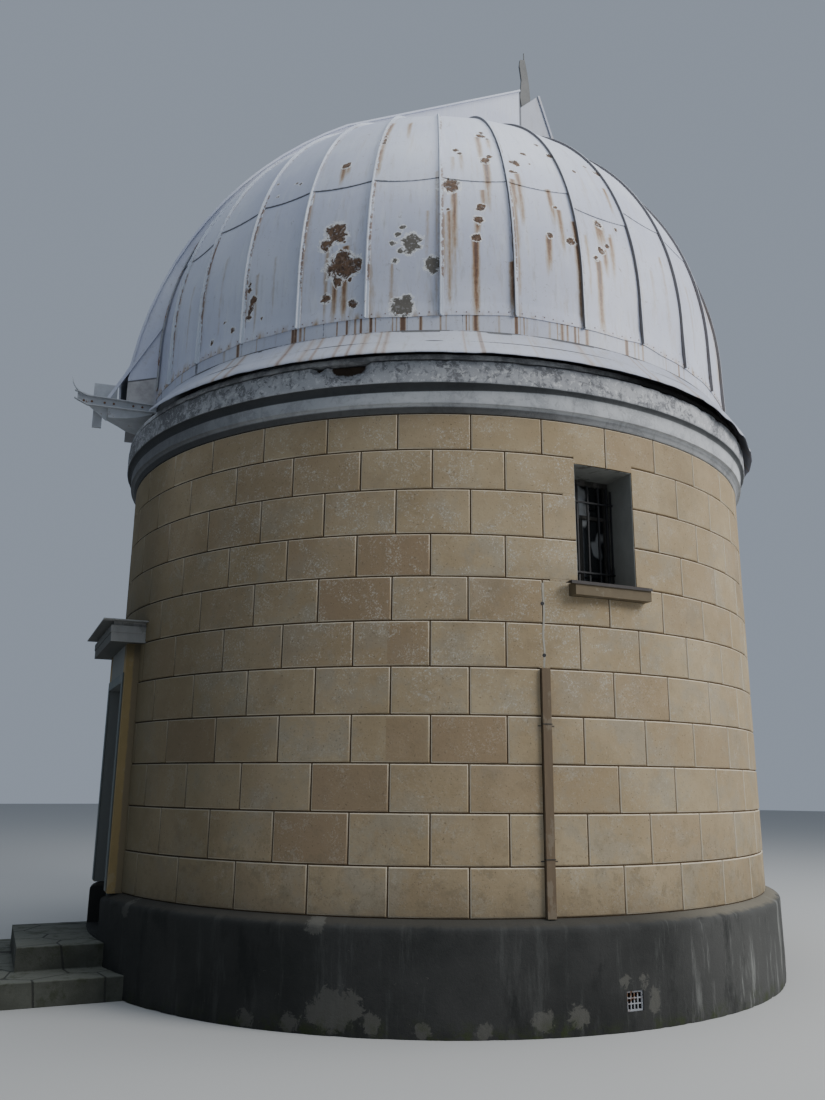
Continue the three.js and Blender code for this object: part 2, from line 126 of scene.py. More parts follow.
def spots_at(spots, bearing, height, radius, slope=1.0):
    """How near a place is to the listed spots (bearing, height, size): 1 in the middle of one."""
    most = 0.0
    for spot, level, size in spots:
        if abs(height - level) < 0.3 and apart(bearing, spot) < 6:
            aside = math.radians(apart(bearing, spot)) * radius
            most = max(most, 1 - math.hypot(aside, (height - level) / slope) / (SPOT_FADE * size))
    return most


def runs_at(runs, bearing, height, radius):
    """How much has run over a place, for runs (bearing at the foot, at the top, low, high, strength)."""
    most = 0.0
    for foot, top, low, high, strength in runs:
        if low - 0.1 < height < high + 0.04 and apart(bearing, foot) < 4:
            way = (height - low) / (high - low)
            aside = math.radians(apart(bearing, foot + (top - foot) * way)) * radius
            fade = min(1.0, 0.62 + 0.38 * way) * min(1.0, (height - low + 0.1) / 0.2)
            most = max(most, strength * fade * (1 - aside / (0.018 + 0.028 * strength)))
    return most


print("marks ready")

# %% [markdown]
# ## From a bmesh to a piece of the building
#
# A bmesh is only a drawing board. Each finished one becomes an object with its material,
# smooth shading that stays crisp at real corners, and a body of the frame to ride on. Shapes
# that were spun or mirrored may be inside out, so their normals are recalculated first.

# %% Turn a bmesh into a piece
def object_of(shape, name, finish):
    mesh = bpy.data.meshes.new(name)
    shape.to_mesh(mesh)
    shape.free()
    mesh.materials.append(finish.material)
    thing = bpy.data.objects.new(name, mesh)
    bpy.context.scene.collection.objects.link(thing)
    return thing


def piece(shape, name, finish, body="building", replaces=(), corner=32):
    bmesh.ops.remove_doubles(shape, verts=shape.verts, dist=1e-6)
    bmesh.ops.recalc_face_normals(shape, faces=shape.faces)
    thing = object_of(shape, name, finish)
    for polygon in thing.data.polygons:
        polygon.use_smooth = True
    thing.data.set_sharp_from_angle(angle=math.radians(corner))
    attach(thing, body)
    if replaces:
        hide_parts(*replaces)
    return thing


def piece_at(bearing, shape, name, finish, body="building", replaces=(), corner=30):
    """The same for a shape that was made facing the viewer."""
    bmesh.ops.transform(shape, verts=shape.verts, matrix=turned(bearing))
    return piece(shape, name, finish, body, replaces, corner)


def dress(solid, finish):
    """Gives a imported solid, whose shape is right already, its finish."""
    solid.data.materials.clear()
    solid.data.materials.append(finish.material)


def stored_on(shape, *names):
    return [shape.verts.layers.float.new(name) for name in names]


def block(shape, x, y, z):
    size = [x[1] - x[0], y[1] - y[0], z[1] - z[0]]
    middle = [(x[0] + x[1]) / 2, (y[0] + y[1]) / 2, (z[0] + z[1]) / 2]
    matrix = Matrix.Translation(middle) @ Matrix.Diagonal((*size, 1))
    return bmesh.ops.create_cube(shape, size=1, matrix=matrix)["verts"]


def pair(shape, near, far, y, z):
    """Two blocks, mirrored to the left and the right of the middle."""
    return [block(shape, sorted((side * near, side * far)), y, z) for side in (-1, 1)]


def stud(shape, place, axis, sides, foot, top, length, angle=90):
    """A short pin or cone, tipped over from upright by an angle about X or Y."""
    made = bmesh.ops.create_cone(
        shape, cap_ends=True, segments=sides, radius1=foot, radius2=top, depth=length)
    matrix = place @ Matrix.Rotation(math.radians(angle), 4, axis)
    bmesh.ops.transform(shape, verts=made["verts"], matrix=matrix)


def sliced(shape, direction, offset, **how):
    """Cuts a shape along a plane and returns the edges and points of the cut."""
    geometry = [*shape.verts, *shape.edges, *shape.faces]
    return bmesh.ops.bisect_plane(
        shape, geom=geometry, plane_co=direction * offset, plane_no=direction, dist=1e-5, **how)["geom_cut"]


def edges_of(verts):
    return list({edge for vertex in verts for edge in vertex.link_edges})


def divide_long(shape, verts, cuts):
    """Cuts the long edges of a block into short ones, so that it can be bent."""
    long_edges = [edge for edge in edges_of(verts) if edge.calc_length() > 0.5]
    bmesh.ops.subdivide_edges(shape, edges=long_edges, cuts=cuts, use_grid_fill=True)


def soften(shape, edges, width, segments=2):
    return bmesh.ops.bevel(
        shape, geom=edges, offset=width, offset_type="OFFSET", segments=segments,
        profile=0.5, affect="EDGES", material=-1, clamp_overlap=True,
    )


def section(shape, points):
    corners = [shape.verts.new(point) for point in points]
    return shape.faces.new(corners)


def swept(shape, geometry, axis, centre, degrees, steps):
    """Spins a face on from where it is, and returns the end of the sweep."""
    return bmesh.ops.spin(
        shape, geom=geometry, cent=centre, axis=axis, angle=math.radians(degrees),
        steps=steps, use_merge=False, use_duplicate=False,
    )["geom_last"]


def ring(shape, profile, start, *spans):
    """Sweeps a profile of (radius, height) points round the tower, in spans of (end, step)."""
    face = section(shape, [at(start, radius, height) for radius, height in profile])
    geometry = [face, *face.edges, *face.verts]
    for end, step in spans:
        steps = max(1, round((end - start) / step))
        geometry = swept(shape, geometry, (0, 0, 1), (0, 0, 0), end - start, steps)
        start = end


print("helpers ready")

# %% [markdown]
# ## A small language for materials
#
# A procedural finish is arithmetic on patterns. Wiring each Math node by hand hides the idea,
# so a Value wraps a socket and lets Python's own operators add the nodes: `dirt * 0.5 + 0.2`
# reads as it acts. A Finish holds one material and makes every other node in one method that
# takes the node's type, its settings and its inputs.

# %% Values and finishes
def scaled(colour, factor):
    return tuple(part * factor for part in colour)


class Value:
    def __init__(self, finish, socket):
        self.finish = finish
        self.socket = socket

    def __add__(self, other):
        return self.finish.maths("ADD", self, other)

    def __sub__(self, other):
        return self.finish.maths("SUBTRACT", self, other)

    def __rsub__(self, other):
        return self.finish.maths("SUBTRACT", other, self)

    def __mul__(self, other):
        return self.finish.maths("MULTIPLY", self, other)

    def __truediv__(self, other):
        return self.finish.maths("DIVIDE", self, other)

    __radd__ = __add__
    __rmul__ = __mul__


class Finish:
    def __init__(self, name, roughness=0.8, specular=0.35):
        self.material = bpy.data.materials.new(name)
        self.material.use_nodes = True
        self.tree = self.material.node_tree
        self.shader = self.tree.nodes["Principled BSDF"]
        self.shader.inputs["Roughness"].default_value = roughness
        self.shader.inputs["Specular IOR Level"].default_value = specular
        self.place = self.node("ShaderNodeTexCoord", output="Object")

    def node(self, kind, settings=None, inputs=None, output=0):
        made = self.tree.nodes.new(kind)
        for name, value in (settings or {}).items():
            setattr(made, name, value)
        for name, value in (inputs or {}).items():
            self.plug(value, made.inputs[name])
        return Value(self, made.outputs[output])

    def plug(self, value, socket):
        if isinstance(value, Value):
            self.tree.links.new(value.socket, socket)
        else:
            socket.default_value = value

    def maths(self, operation, *values):
        return self.node("ShaderNodeMath", {"operation": operation}, dict(enumerate(values)))

    def ramp(self, value, start, end):
        """0 where the value is at start, 1 where it is at end, and smooth between them."""
        inputs = {"Value": value, "From Min": start, "From Max": end}
        return self.node("ShaderNodeMapRange", {"interpolation_type": "SMOOTHSTEP"}, inputs)

    def within(self, value, start, full, fading, end):
        """1 between full and fading, falling smoothly to 0 at start and at end."""
        return self.ramp(value, start, full) * self.ramp(value, end, fading)

    def mix(self, amount, first, second):
        colours = [(*c, 1) if isinstance(c, tuple) else c for c in (first, second)]
        inputs = {0: amount, 6: colours[0], 7: colours[1]}
        return self.node("ShaderNodeMix", {"data_type": "RGBA"}, inputs, output=2)

    def stretched(self, x, y, z):
        inputs = {0: self.place, 1: (x, y, z)}
        return self.node("ShaderNodeVectorMath", {"operation": "MULTIPLY"}, inputs)

    def grain(self, scale, detail=4, rough=0.55, place=None, warp=0.0):
        inputs = {"Vector": place or self.place, "Scale": scale, "Detail": detail,
                  "Roughness": rough, "Distortion": warp}
        return self.node("ShaderNodeTexNoise", inputs=inputs)

    def blotch(self, start, end, *pattern, **more):
        """Noise cut off between two levels: patches, soft edged if the levels lie far apart."""
        return self.ramp(self.grain(*pattern, **more), start, end)

    def cracks(self, scale, place):
        inputs = {"Vector": place, "Scale": scale}
        return self.node("ShaderNodeTexVoronoi", {"feature": "DISTANCE_TO_EDGE"}, inputs)

    def parts(self):
        made = self.node("ShaderNodeSeparateXYZ", inputs={0: self.place}).socket.node
        return [Value(self, made.outputs[axis]) for axis in range(3)]

    def bearing(self):
        x, y, _ = self.parts()
        return self.maths("ARCTAN2", x, y * -1) * (180 / math.pi)

    def spoke(self, shrink=1.0):
        """A place that only changes round the axis and slowly up it, for streaks that run down."""
        x, y, z = self.parts()
        radius = self.distance(x, y)
        return self.node("ShaderNodeCombineXYZ", inputs={0: x / radius, 1: y / radius, 2: z * shrink})

    def stored(self, name):
        return self.node("ShaderNodeAttribute", {"attribute_name": name}, output="Fac")

    def paint(self, colour):
        """The first coat, or all of the colour so far, which the next coat is laid over."""
        self.colour = colour
        self.plug(colour if isinstance(colour, Value) else (*colour, 1), self.shader.inputs["Base Color"])

    def coat(self, amount, colour):
        self.paint(self.mix(amount, self.colour, colour))

    def distance(self, *lengths):
        """The length of the diagonal, from its length along each axis."""
        return self.maths("SQRT", sum(length * length for length in lengths))

    def size(self, value):
        """The value without its sign."""
        return self.maths("ABSOLUTE", value)

    def relief(self, height, depth, strength=0.6):
        inputs = {"Strength": strength, "Distance": depth, "Height": height}
        self.plug(self.node("ShaderNodeBump", inputs=inputs), self.shader.inputs["Normal"])


print("ready to mix finishes")

# %% [markdown]
# ## The tower's render
#
# The blocks are not stone but cement render, ruled with joints while it was wet and painted
# ochre long ago. Weather has washed it to a greyish tan, left some blocks browner than others,
# and knocked off small pale scuffs. One attribute called tone, stored on each block's vertices,
# tells the material how brown that block is; noise at many scales does the rest.

# %% Render, joints and inside plaster
def shaded_side(finish, bearing, start=-12, full=-40):
    """1 on the side for painted shade and algae, from the slit's side of the view round to the back."""
    return finish.within(bearing, start, full, -150, -176)


def wall_render():
    finish = Finish("wall_render", roughness=0.9, specular=0.25)
    _, _, height = finish.parts()
    bearing = finish.bearing()
    cloud = finish.grain(1.7, detail=5)
    fine = finish.grain(38, detail=6, rough=0.7)
    finish.paint((0.325, 0.252, 0.152))
    finish.coat(finish.ramp(cloud, 0.35, 0.7), (0.39, 0.315, 0.203))
    grey = finish.blotch(0.47, 0.62, 2.9, detail=8, rough=0.7)
    finish.coat(grey * finish.ramp(height, 3.95, 3.3) * 0.6, (0.305, 0.275, 0.212))
    finish.coat(finish.stored("tone"), (0.275, 0.20, 0.122))
    lower = finish.ramp(height, 1.69, 1.70) * finish.ramp(height + fine * 0.04, 2.02, 1.99)
    upper = finish.ramp(height, 2.35, 2.36) * finish.ramp(height + fine * 0.04, 2.67, 2.64)
    slab = (lower + upper) * finish.ramp(bearing, -6.15, -6.05) * finish.ramp(bearing + fine, 0.1, -0.4)
    finish.coat(slab * 0.6, (0.265, 0.19, 0.112))
    patch = finish.grain(5.5, detail=8, rough=0.68, warp=0.6)
    scuff = finish.ramp(patch + fine * 0.35, 0.77, 0.84)
    finish.coat(scuff * 0.3, (0.43, 0.40, 0.33))
    facing = finish.within(bearing, -44, -30, 22, 36) * finish.within(height, 1.9, 2.3, 4.0, 4.25)
    fleck = finish.blotch(0.53, 0.60, 75, detail=5, rough=0.75)
    speckle = fleck * finish.ramp(patch + fine * 0.3, 0.60, 0.72)
    finish.coat(speckle * (0.3 + 0.5 * facing), (0.50, 0.475, 0.41))
    stain = finish.blotch(0.52, 0.72, 3.2, detail=7, rough=0.65, place=finish.spoke(0.35))
    finish.coat(stain * 0.4, (0.175, 0.135, 0.083))
    mottle = finish.blotch(0.5, 0.62, 10, detail=8, rough=0.74)
    finish.coat(mottle * (0.16 + 0.3 * finish.ramp(height, 1.4, 0.9)), (0.19, 0.155, 0.10))
    speck = finish.blotch(0.62, 0.7, 70, detail=3)
    finish.coat(speck * 0.6, (0.13, 0.10, 0.065))
    # darker towards the bottom
    low_darkening = finish.ramp(height + finish.grain(2.4) * 0.5, 1.35, 0.85)
    finish.coat(low_darkening * 0.42, (0.155, 0.125, 0.085))
    # painted highlight: pale top and left bevels, where light catches the arris
    finish.coat(finish.stored("arris") * 0.95, (0.66, 0.59, 0.46))
    # algae and painted shade together on the shaded side, thinning upwards
    algae_and_shade = shaded_side(finish, bearing) * finish.ramp(height + cloud * 0.8, 5.2, 2.4)
    finish.coat(algae_and_shade * 0.58, (0.072, 0.066, 0.04))
    # painted shade, deepening towards the far left of the view
    finish.coat(shaded_side(finish, bearing, -42, -55) * 0.55, (0.098, 0.086, 0.05))
    finish.relief(fine * 0.7 + patch * 0.5 - scuff * 0.25, 0.006, 0.55)
    return finish


def joint_render():
    finish = Finish("joint_and_plaster", roughness=0.95, specular=0.2)
    x, y, _ = finish.parts()
    radius = finish.distance(x, y)
    crumbs = finish.grain(55, detail=5, rough=0.7)
    joint = finish.mix(crumbs, (0.05, 0.032, 0.018), (0.125, 0.085, 0.05))
    # painted shade: the joints go nearly black on the shaded side
    joint = finish.mix(shaded_side(finish, finish.bearing()) * 0.7, joint, (0.014, 0.014, 0.01))
    cloud = finish.grain(2.1, detail=6)
    plaster = finish.mix(cloud, (0.42, 0.41, 0.38), (0.56, 0.55, 0.51))
    finish.paint(finish.mix(finish.ramp(radius, 2.94, 2.96), plaster, joint))
    finish.relief(crumbs, 0.004)
    return finish


block_finish = wall_render()
joint_finish = joint_render()
for name, solid in nodes.items():
    if name.startswith(("wall_", "upper_wall_")):
        dress(solid, joint_finish)
print("render mixed")

# %% [markdown]
# ## Ruled blocks
#
# Eleven courses run round the tower, each shifted by about half a block. Nobody ruled them
# evenly: the upright joints wander by a few centimetres, so those in view are listed and only
# the rest of each circle is divided evenly. Modelling joints as a picture would lose their
# shadow, so each block is a thin slab set over the wall, and the wall behind shows as the
# joint. Doors, windows and sills take rectangles out of the courses. A block that meets one is
# split, and only the sides that lie on a real joint are drawn in and softened. The top and left
# bevels of each block store an attribute too, and are painted pale: a painted highlight where
# light catches the arris.

# %% Where the blocks go
COURSES = [0.692, 1.015, 1.356, 1.680, 2.007, 2.337, 2.658, 2.976, 3.287, 3.620, 3.927, 4.208]
UPRIGHTS = [
    [-48.9, -37.9, -27.1, -16.2, -5.6, 4.7, 15.3, 26.0, 36.2, 46.3, 56.7],
    [-53.6, -42.9, -32.1, -21.4, -10.8, -0.3, 9.9, 20.7, 30.8, 41.0, 51.2, 62.0],
    [-48.0, -37.3, -26.9, -16.1, -5.6, 4.7, 15.2, 25.8, 36.0, 46.1, 56.6],
    [-53.2, -42.7, -31.9, -21.2, -10.8, -0.3, 9.8, 20.6, 30.7, 40.7, 51.0],
    [-47.4, -37.0, -26.6, -16.0, -5.6, 4.8, 15.1, 25.6, 35.6, 45.6, 56.3],
    [-52.5, -42.1, -31.4, -21.2, -10.8, -0.4, 9.8, 20.5, 30.4, 40.4, 50.5],
    [-47.0, -36.6, -26.2, -16.0, -5.6, 4.7, 15.1, 25.4, 35.4, 45.3, 55.8],
    [-51.8, -41.4, -31.2, -21.0, -10.6, -0.4, 9.9, 25.4, 40.2, 50.2],
    [-46.3, -36.0, -25.7, -15.5, -5.2, 5.1, 15.4, 25.4, 35.3, 44.9, 55.3],
    [-51.0, -40.8, -30.6, -20.6, -10.3, -0.2, 10.0, 25.4, 40.1, 49.9, 59.9],
    [-46.0, -36.0, -25.8, -15.4, -5.1, 5.2, 15.5, 25.8, 35.3, 45.2, 55.4],
]
BLOCK_DEGREES = 10.3
TOP_ROW = len(UPRIGHTS) - 1
JOINT = 0.010
BEVEL = 0.009
PALE_RIM = 0.006
BACK = 2.99
FACE = 3.008
HEAD = 3.8845
window_angle = half_angle(0.263, WALL)
sill_angle = half_angle(0.333, WALL)

gaps = []


def leave_gap(bearing, half, low, high):
    gaps.append((bearing - half, bearing + half, low, high))


for half_width, low, high in ((0.562, 0.0, 2.657), (0.664, 2.65, 2.8225), (0.71, 2.8215, 2.8365)):
    leave_gap(DOOR, half_angle(half_width, WALL), low, high)
leave_gap(CABLE, 0.7, 0.0, 2.339)
for bearing in WINDOWS.values():
    leave_gap(bearing, window_angle, 2.9, COURSES[TOP_ROW])
    leave_gap(bearing, sill_angle, 2.866, 2.959)


def without(rectangle, gap):
    """What is left of a rectangle (left, right, low, high, sides on joints) beside a gap."""
    left, right, low, high, joints = rectangle
    gap_left, gap_right, gap_low, gap_high = gap
    if gap_right <= left or gap_left >= right or gap_high <= low or gap_low >= high:
        return [rectangle]
    rest = []
    if gap_left > left:
        rest.append((left, gap_left, low, high, joints - {"right"}))
    if gap_right < right:
        rest.append((gap_right, right, low, high, joints - {"left"}))
    inner = (max(left, gap_left), min(right, gap_right))
    sides = joints - {side for side, end in (("left", gap_left > left), ("right", gap_right < right)) if end}
    if gap_low > low:
        rest.append((*inner, low, gap_low, sides - {"top"}))
    if gap_high < high:
        rest.append((*inner, gap_high, high, sides - {"foot"}))
    return rest


def down_to_heads(part):
    """In the top course, the blocks over a window reach down to its head without a joint."""
    left, right, low, high, joints = part
    edges = [bearing + side * window_angle for bearing in WINDOWS.values() for side in (-1, 1)]
    ends = [left, *[edge for edge in sorted(edges) if left < edge < right], right]
    parts = []
    for start, end in zip(ends, ends[1:]):
        over = any(abs((start + end) / 2 - bearing) < window_angle for bearing in WINDOWS.values())
        cuts = (("left", start > left), ("right", end < right), ("foot", over))
        sides = joints - {side for side, cut in cuts if cut}
        parts.append((start, end, HEAD if over else low, high, sides))
    return parts


def course_blocks(row):
    seen = UPRIGHTS[row]
    rest = seen[0] + 360 - seen[-1]
    count = round(rest / BLOCK_DEGREES)
    uprights = seen + [seen[-1] + rest * number / count for number in range(1, count + 1)]
    blocks = []
    for left, right in zip(uprights, uprights[1:]):
        parts = [(left, right, COURSES[row], COURSES[row + 1], {"left", "right", "foot", "top"})]
        for gap in gaps:
            for turn in (0, 360):
                moved = (gap[0] + turn, gap[1] + turn, gap[2], gap[3])
                parts = [rest for part in parts for rest in without(part, moved)]
        if row == TOP_ROW:
            parts = [rest for part in parts for rest in down_to_heads(part)]
        blocks.append((left, parts))
    return blocks


print(sum(len(parts) for row in range(len(UPRIGHTS)) for _, parts in course_blocks(row)), "block pieces")

# %% Lay the courses
random.seed(7)
BROWN = {(1, -21.4), (2, -16.1), (3, -0.3), (3, -42.7), (6, -16.0), (2, 5.2), (7, -10.6)}
SMEARED = {6: [(16.2, 19.0, 2.966, 2.976)], 7: [(16.2, 19.0, 2.976, 2.986)], 8: [(18.5, 20.3, 3.610, 3.620)],
           9: [(18.5, 20.3, 3.620, 3.630)]}
SAG = [(-60, 0), (-10, 0), (18, 0.010), (20.3, 0.010), (30.5, -0.025), (50, -0.02), (64, 0)]


def lay_course(row):
    shape = bmesh.new()
    tone_of, highlight_of = stored_on(shape, "tone", "arris")
    length = math.radians(1) * WALL
    laid = course_blocks(row) + [(None, [(*part, set())]) for part in SMEARED.get(row, [])]
    for number, parts in laid:
        tone = 0.9 if (row, number) in BROWN else 0.2 if number is None else random.random() ** 2 * 0.45
        for left, right, low, high, joints in parts:
            drawn_in = {side: JOINT / 2 for side in joints}
            x = [left * length + drawn_in.get("left", 0), right * length - drawn_in.get("right", 0)]
            z = [low + drawn_in.get("foot", 0), high - drawn_in.get("top", 0)]
            if x[1] - x[0] < 0.012 or z[1] - z[0] < 0.004:
                continue
            corners = block(shape, x, [-FACE, -BACK], z)
            soft = []
            for vertex in corners:
                vertex[tone_of] = tone
            sides = [(0, x[0], "left"), (0, x[1], "right"), (2, z[0], "foot"), (2, z[1], "top")]
            for edge in edges_of(corners):
                ends = [vertex.co for vertex in edge.verts]
                if any(co.y > -FACE + 0.001 for co in ends):
                    continue
                for axis, value, side in sides:
                    if side in joints and all(abs(co[axis] - value) < 1e-5 for co in ends):
                        soft.append(edge)
            for vertex in soften(shape, soft, BEVEL)["verts"] if soft else []:
                vertex[tone_of] = tone
                # the bevels on the top and left are marked for the painted highlight
                bare = "top" in joints and z[1] - vertex.co.z < PALE_RIM
                bare = bare or ("left" in joints and vertex.co.x - x[0] < PALE_RIM)
                vertex[highlight_of] = float(bare and vertex.co.y > -FACE + 0.001)
    along = [edge for edge in shape.edges if abs(edge.verts[0].co.x - edge.verts[1].co.x) > 0.05]
    bmesh.ops.subdivide_edges(shape, edges=along, cuts=4, use_grid_fill=True)
    for vertex in shape.verts:
        place = vertex.co
        near = max(0.0, 1 - abs(place.z - COURSES[9]) / 0.25)
        vertex.co.z += near * between((place.x / length + 92) % 360 - 92, SAG)
        if place.y < -3.0:
            vertex.co.y += noise.noise(Vector((place.x * 4, row * 3.1, place.z * 4))) * 0.0016
    wrap(shape, WALL)
    return piece(shape, f"block_course_{row + 1:02d}", block_finish, corner=18)


courses = [lay_course(row) for row in range(len(UPRIGHTS))]
print(sum(len(course.data.polygons) for course in courses), "faces in the courses")

# %% [markdown]
# ## Plinth of dark concrete
#
# The tower stands on a collar of rough concrete, 12 centimetres proud, with a chipped sloping
# ledge. One profile is spun round the axis, in lengths that leave the doorway and the vent
# open. The surface is then pushed in and out with noise, and harder along the ledge's arris,
# where years of knocks have broken it. The pale cement patches at its foot are stored spots.

# %% Concrete and the plinth
def plinth_concrete():
    finish = Finish("plinth_concrete", roughness=0.93, specular=0.25)
    _, _, height = finish.parts()
    bearing = finish.bearing()
    cloud = finish.grain(1.3, detail=7, rough=0.62)
    fine = finish.grain(46, detail=6, rough=0.72)
    finish.paint(finish.mix(finish.ramp(cloud, 0.3, 0.7), (0.026, 0.027, 0.026), (0.05, 0.05, 0.048)))
    runs = finish.blotch(0.52, 0.7, 30, detail=6, rough=0.72, place=finish.spoke(0.04))
    # paler on the right, from bearing 24 to 120: painted light where the light falls, as well as
    # rain-washing; the ledge takes it too
    washed_and_lit = finish.within(bearing, 24, 48, 90, 120)
    finish.coat(washed_and_lit * 0.5, (0.115, 0.115, 0.108))
    few = finish.within(bearing, 3.0, 4.2, 6.0, 7.0)
    finish.coat(runs * (0.12 + 0.68 * washed_and_lit + 0.45 * few), (0.245, 0.25, 0.235))
    stain = finish.blotch(0.54, 0.68, 9, detail=6, rough=0.7, place=finish.spoke(0.12))
    finish.coat(stain * 0.6, (0.012, 0.013, 0.013))
    ledge = finish.ramp(height + finish.grain(12, detail=5) * 0.03, 0.66, 0.685)
    ledge_tone = finish.mix(washed_and_lit, (0.054, 0.050, 0.041), (0.18, 0.163, 0.127))
    finish.coat(ledge * 0.8, ledge_tone)
    chips = finish.ramp(finish.grain(16, detail=8, rough=0.75) + fine * 0.2, 0.76, 0.8)
    finish.coat(chips * 0.4, (0.17, 0.165, 0.145))
    cement = finish.stored("cement") + finish.grain(17, detail=9, rough=0.78, warp=0.8) * 1.2
    finish.coat(finish.ramp(cement, 1.17, 1.27) * 0.65, (0.125, 0.122, 0.107))
    wet = finish.ramp(height + finish.grain(3, detail=5) * 0.25, 0.26, 0.08)
    moss = finish.blotch(0.46, 0.6, 7, detail=7, rough=0.7) * wet
    finish.coat(moss * 0.8, (0.04, 0.055, 0.014))
    shade = shaded_side(finish, bearing, 0, -34)
    finish.coat(shade * (0.5 - 0.4 * ledge), (0.011, 0.012, 0.010))
    finish.relief(cloud * 0.6 + fine * 0.5 + chips * 0.3, 0.010, 0.7)
    return finish


plinth_finish = plinth_concrete()
PLINTH_PROFILE = [
    (2.55, 0.0), (2.9, 0.0), (3.118, 0.0), (3.121, 0.04), (3.12, 0.08), (3.12, 0.12), (3.12, 0.16),
    (3.12, 0.2), (3.12, 0.245), (3.12, 0.32), (3.12, 0.4), (3.12, 0.48), (3.12, 0.55), (3.121, 0.61),
    (3.12, 0.634), (3.115, 0.646), (3.104, 0.655), (3.075, 0.667), (3.045, 0.678), (3.014, 0.688),
    (3.0, 0.6905), (2.55, 0.6905),
]
CEMENT = [
    (-11.5, 0.15, 0.13), (-13.2, 0.13, 0.09), (-9.8, 0.17, 0.09), (-7, 0.08, 0.06), (-1, 0.05, 0.05),
    (-23, 0.05, 0.06), (13, 0.1, 0.07), (17.5, 0.12, 0.07), (28.2, 0.14, 0.05), (28.2, 0.22, 0.04),
    (-14.2, 0.65, 0.06), (-47, 0.62, 0.06), (24, 0.30, 0.05), (26.6, 0.30, 0.05), (-17, 0.05, 0.06),
    (6, 0.05, 0.05),
]


def weather(shape, inner, depth, scale, edges=()):
    """Pushes the outer face in and out, and breaks the arrises named by their heights."""
    for vertex in shape.verts:
        place = vertex.co.copy()
        radius = math.hypot(place.x, place.y)
        if radius < inner:
            continue
        push = noise.fractal(place * scale, 0.7, 2.1, 4) * depth
        for height, reach, bite in edges:
            near = max(0.0, 1 - abs(place.z - height) / reach)
            knock = noise.noise(place * 9.0) + 0.6 * noise.noise(place * 23.0)
            push -= near * max(0.0, knock - 0.18) * bite
        vertex.co.x *= (radius + push) / radius
        vertex.co.y *= (radius + push) / radius


def part_profile(profile, low, high):
    """The part of a wall profile between two heights, for the lengths beside an opening."""
    inside = [(radius, height) for radius, height in profile if low <= height <= high and radius > 2.56]
    return [(2.55, low), *inside, (2.55, high)]


doorway = half_angle(0.42, PLINTH)
vent = half_angle(0.065, PLINTH)
lengths = {
    "front": [(-20, VENT - vent, None), (VENT - vent, VENT + vent, (0.0, 0.12)),
              (VENT - vent, VENT + vent, (0.245, 0.6905)), (VENT + vent, 100, None)],
    "back": [(100, 220, None)],
    "door": [(220, 360 + DOOR - doorway, None), (360 + DOOR + doorway, 340, None),
             (360 + DOOR - doorway, 360 + DOOR + doorway, (0.0, 0.36))],
}
for name, runs in lengths.items():
    shape = bmesh.new()
    cement, = stored_on(shape, "cement")
    for start, end, heights in runs:
        profile = PLINTH_PROFILE
        if heights == (0.0, 0.36):
            profile = [(2.55, 0.0), (3.12, 0.0), (3.12, 0.2), (3.12, 0.36), (2.55, 0.36)]
        elif heights:
            profile = part_profile(PLINTH_PROFILE, *heights)
        ring(shape, profile, start, (end, 0.8))
    for vertex in shape.verts:
        vertex[cement] = spots_at(CEMENT, bearing_of(vertex.co), vertex.co.z, PLINTH)
    weather(shape, 2.99, 0.0035, 3.0, edges=[(0.65, 0.05, 0.05), (0.0, 0.05, 0.03)])
    piece(shape, f"plinth_{name}_concrete", plinth_finish, replaces=[f"plinth_{name}"], corner=40)
print("plinth spun in", len(lengths), "pieces")

# %% [markdown]
# ## Cornice
#
# A small hollow, a flat band, a deeper hollow and a tall fascia are run in cement under the
# dome. It is one profile again. The top edge was cast against boards and has crumbled, so the
# noise bites there most, and at one place a whole piece of the fascia has come away.

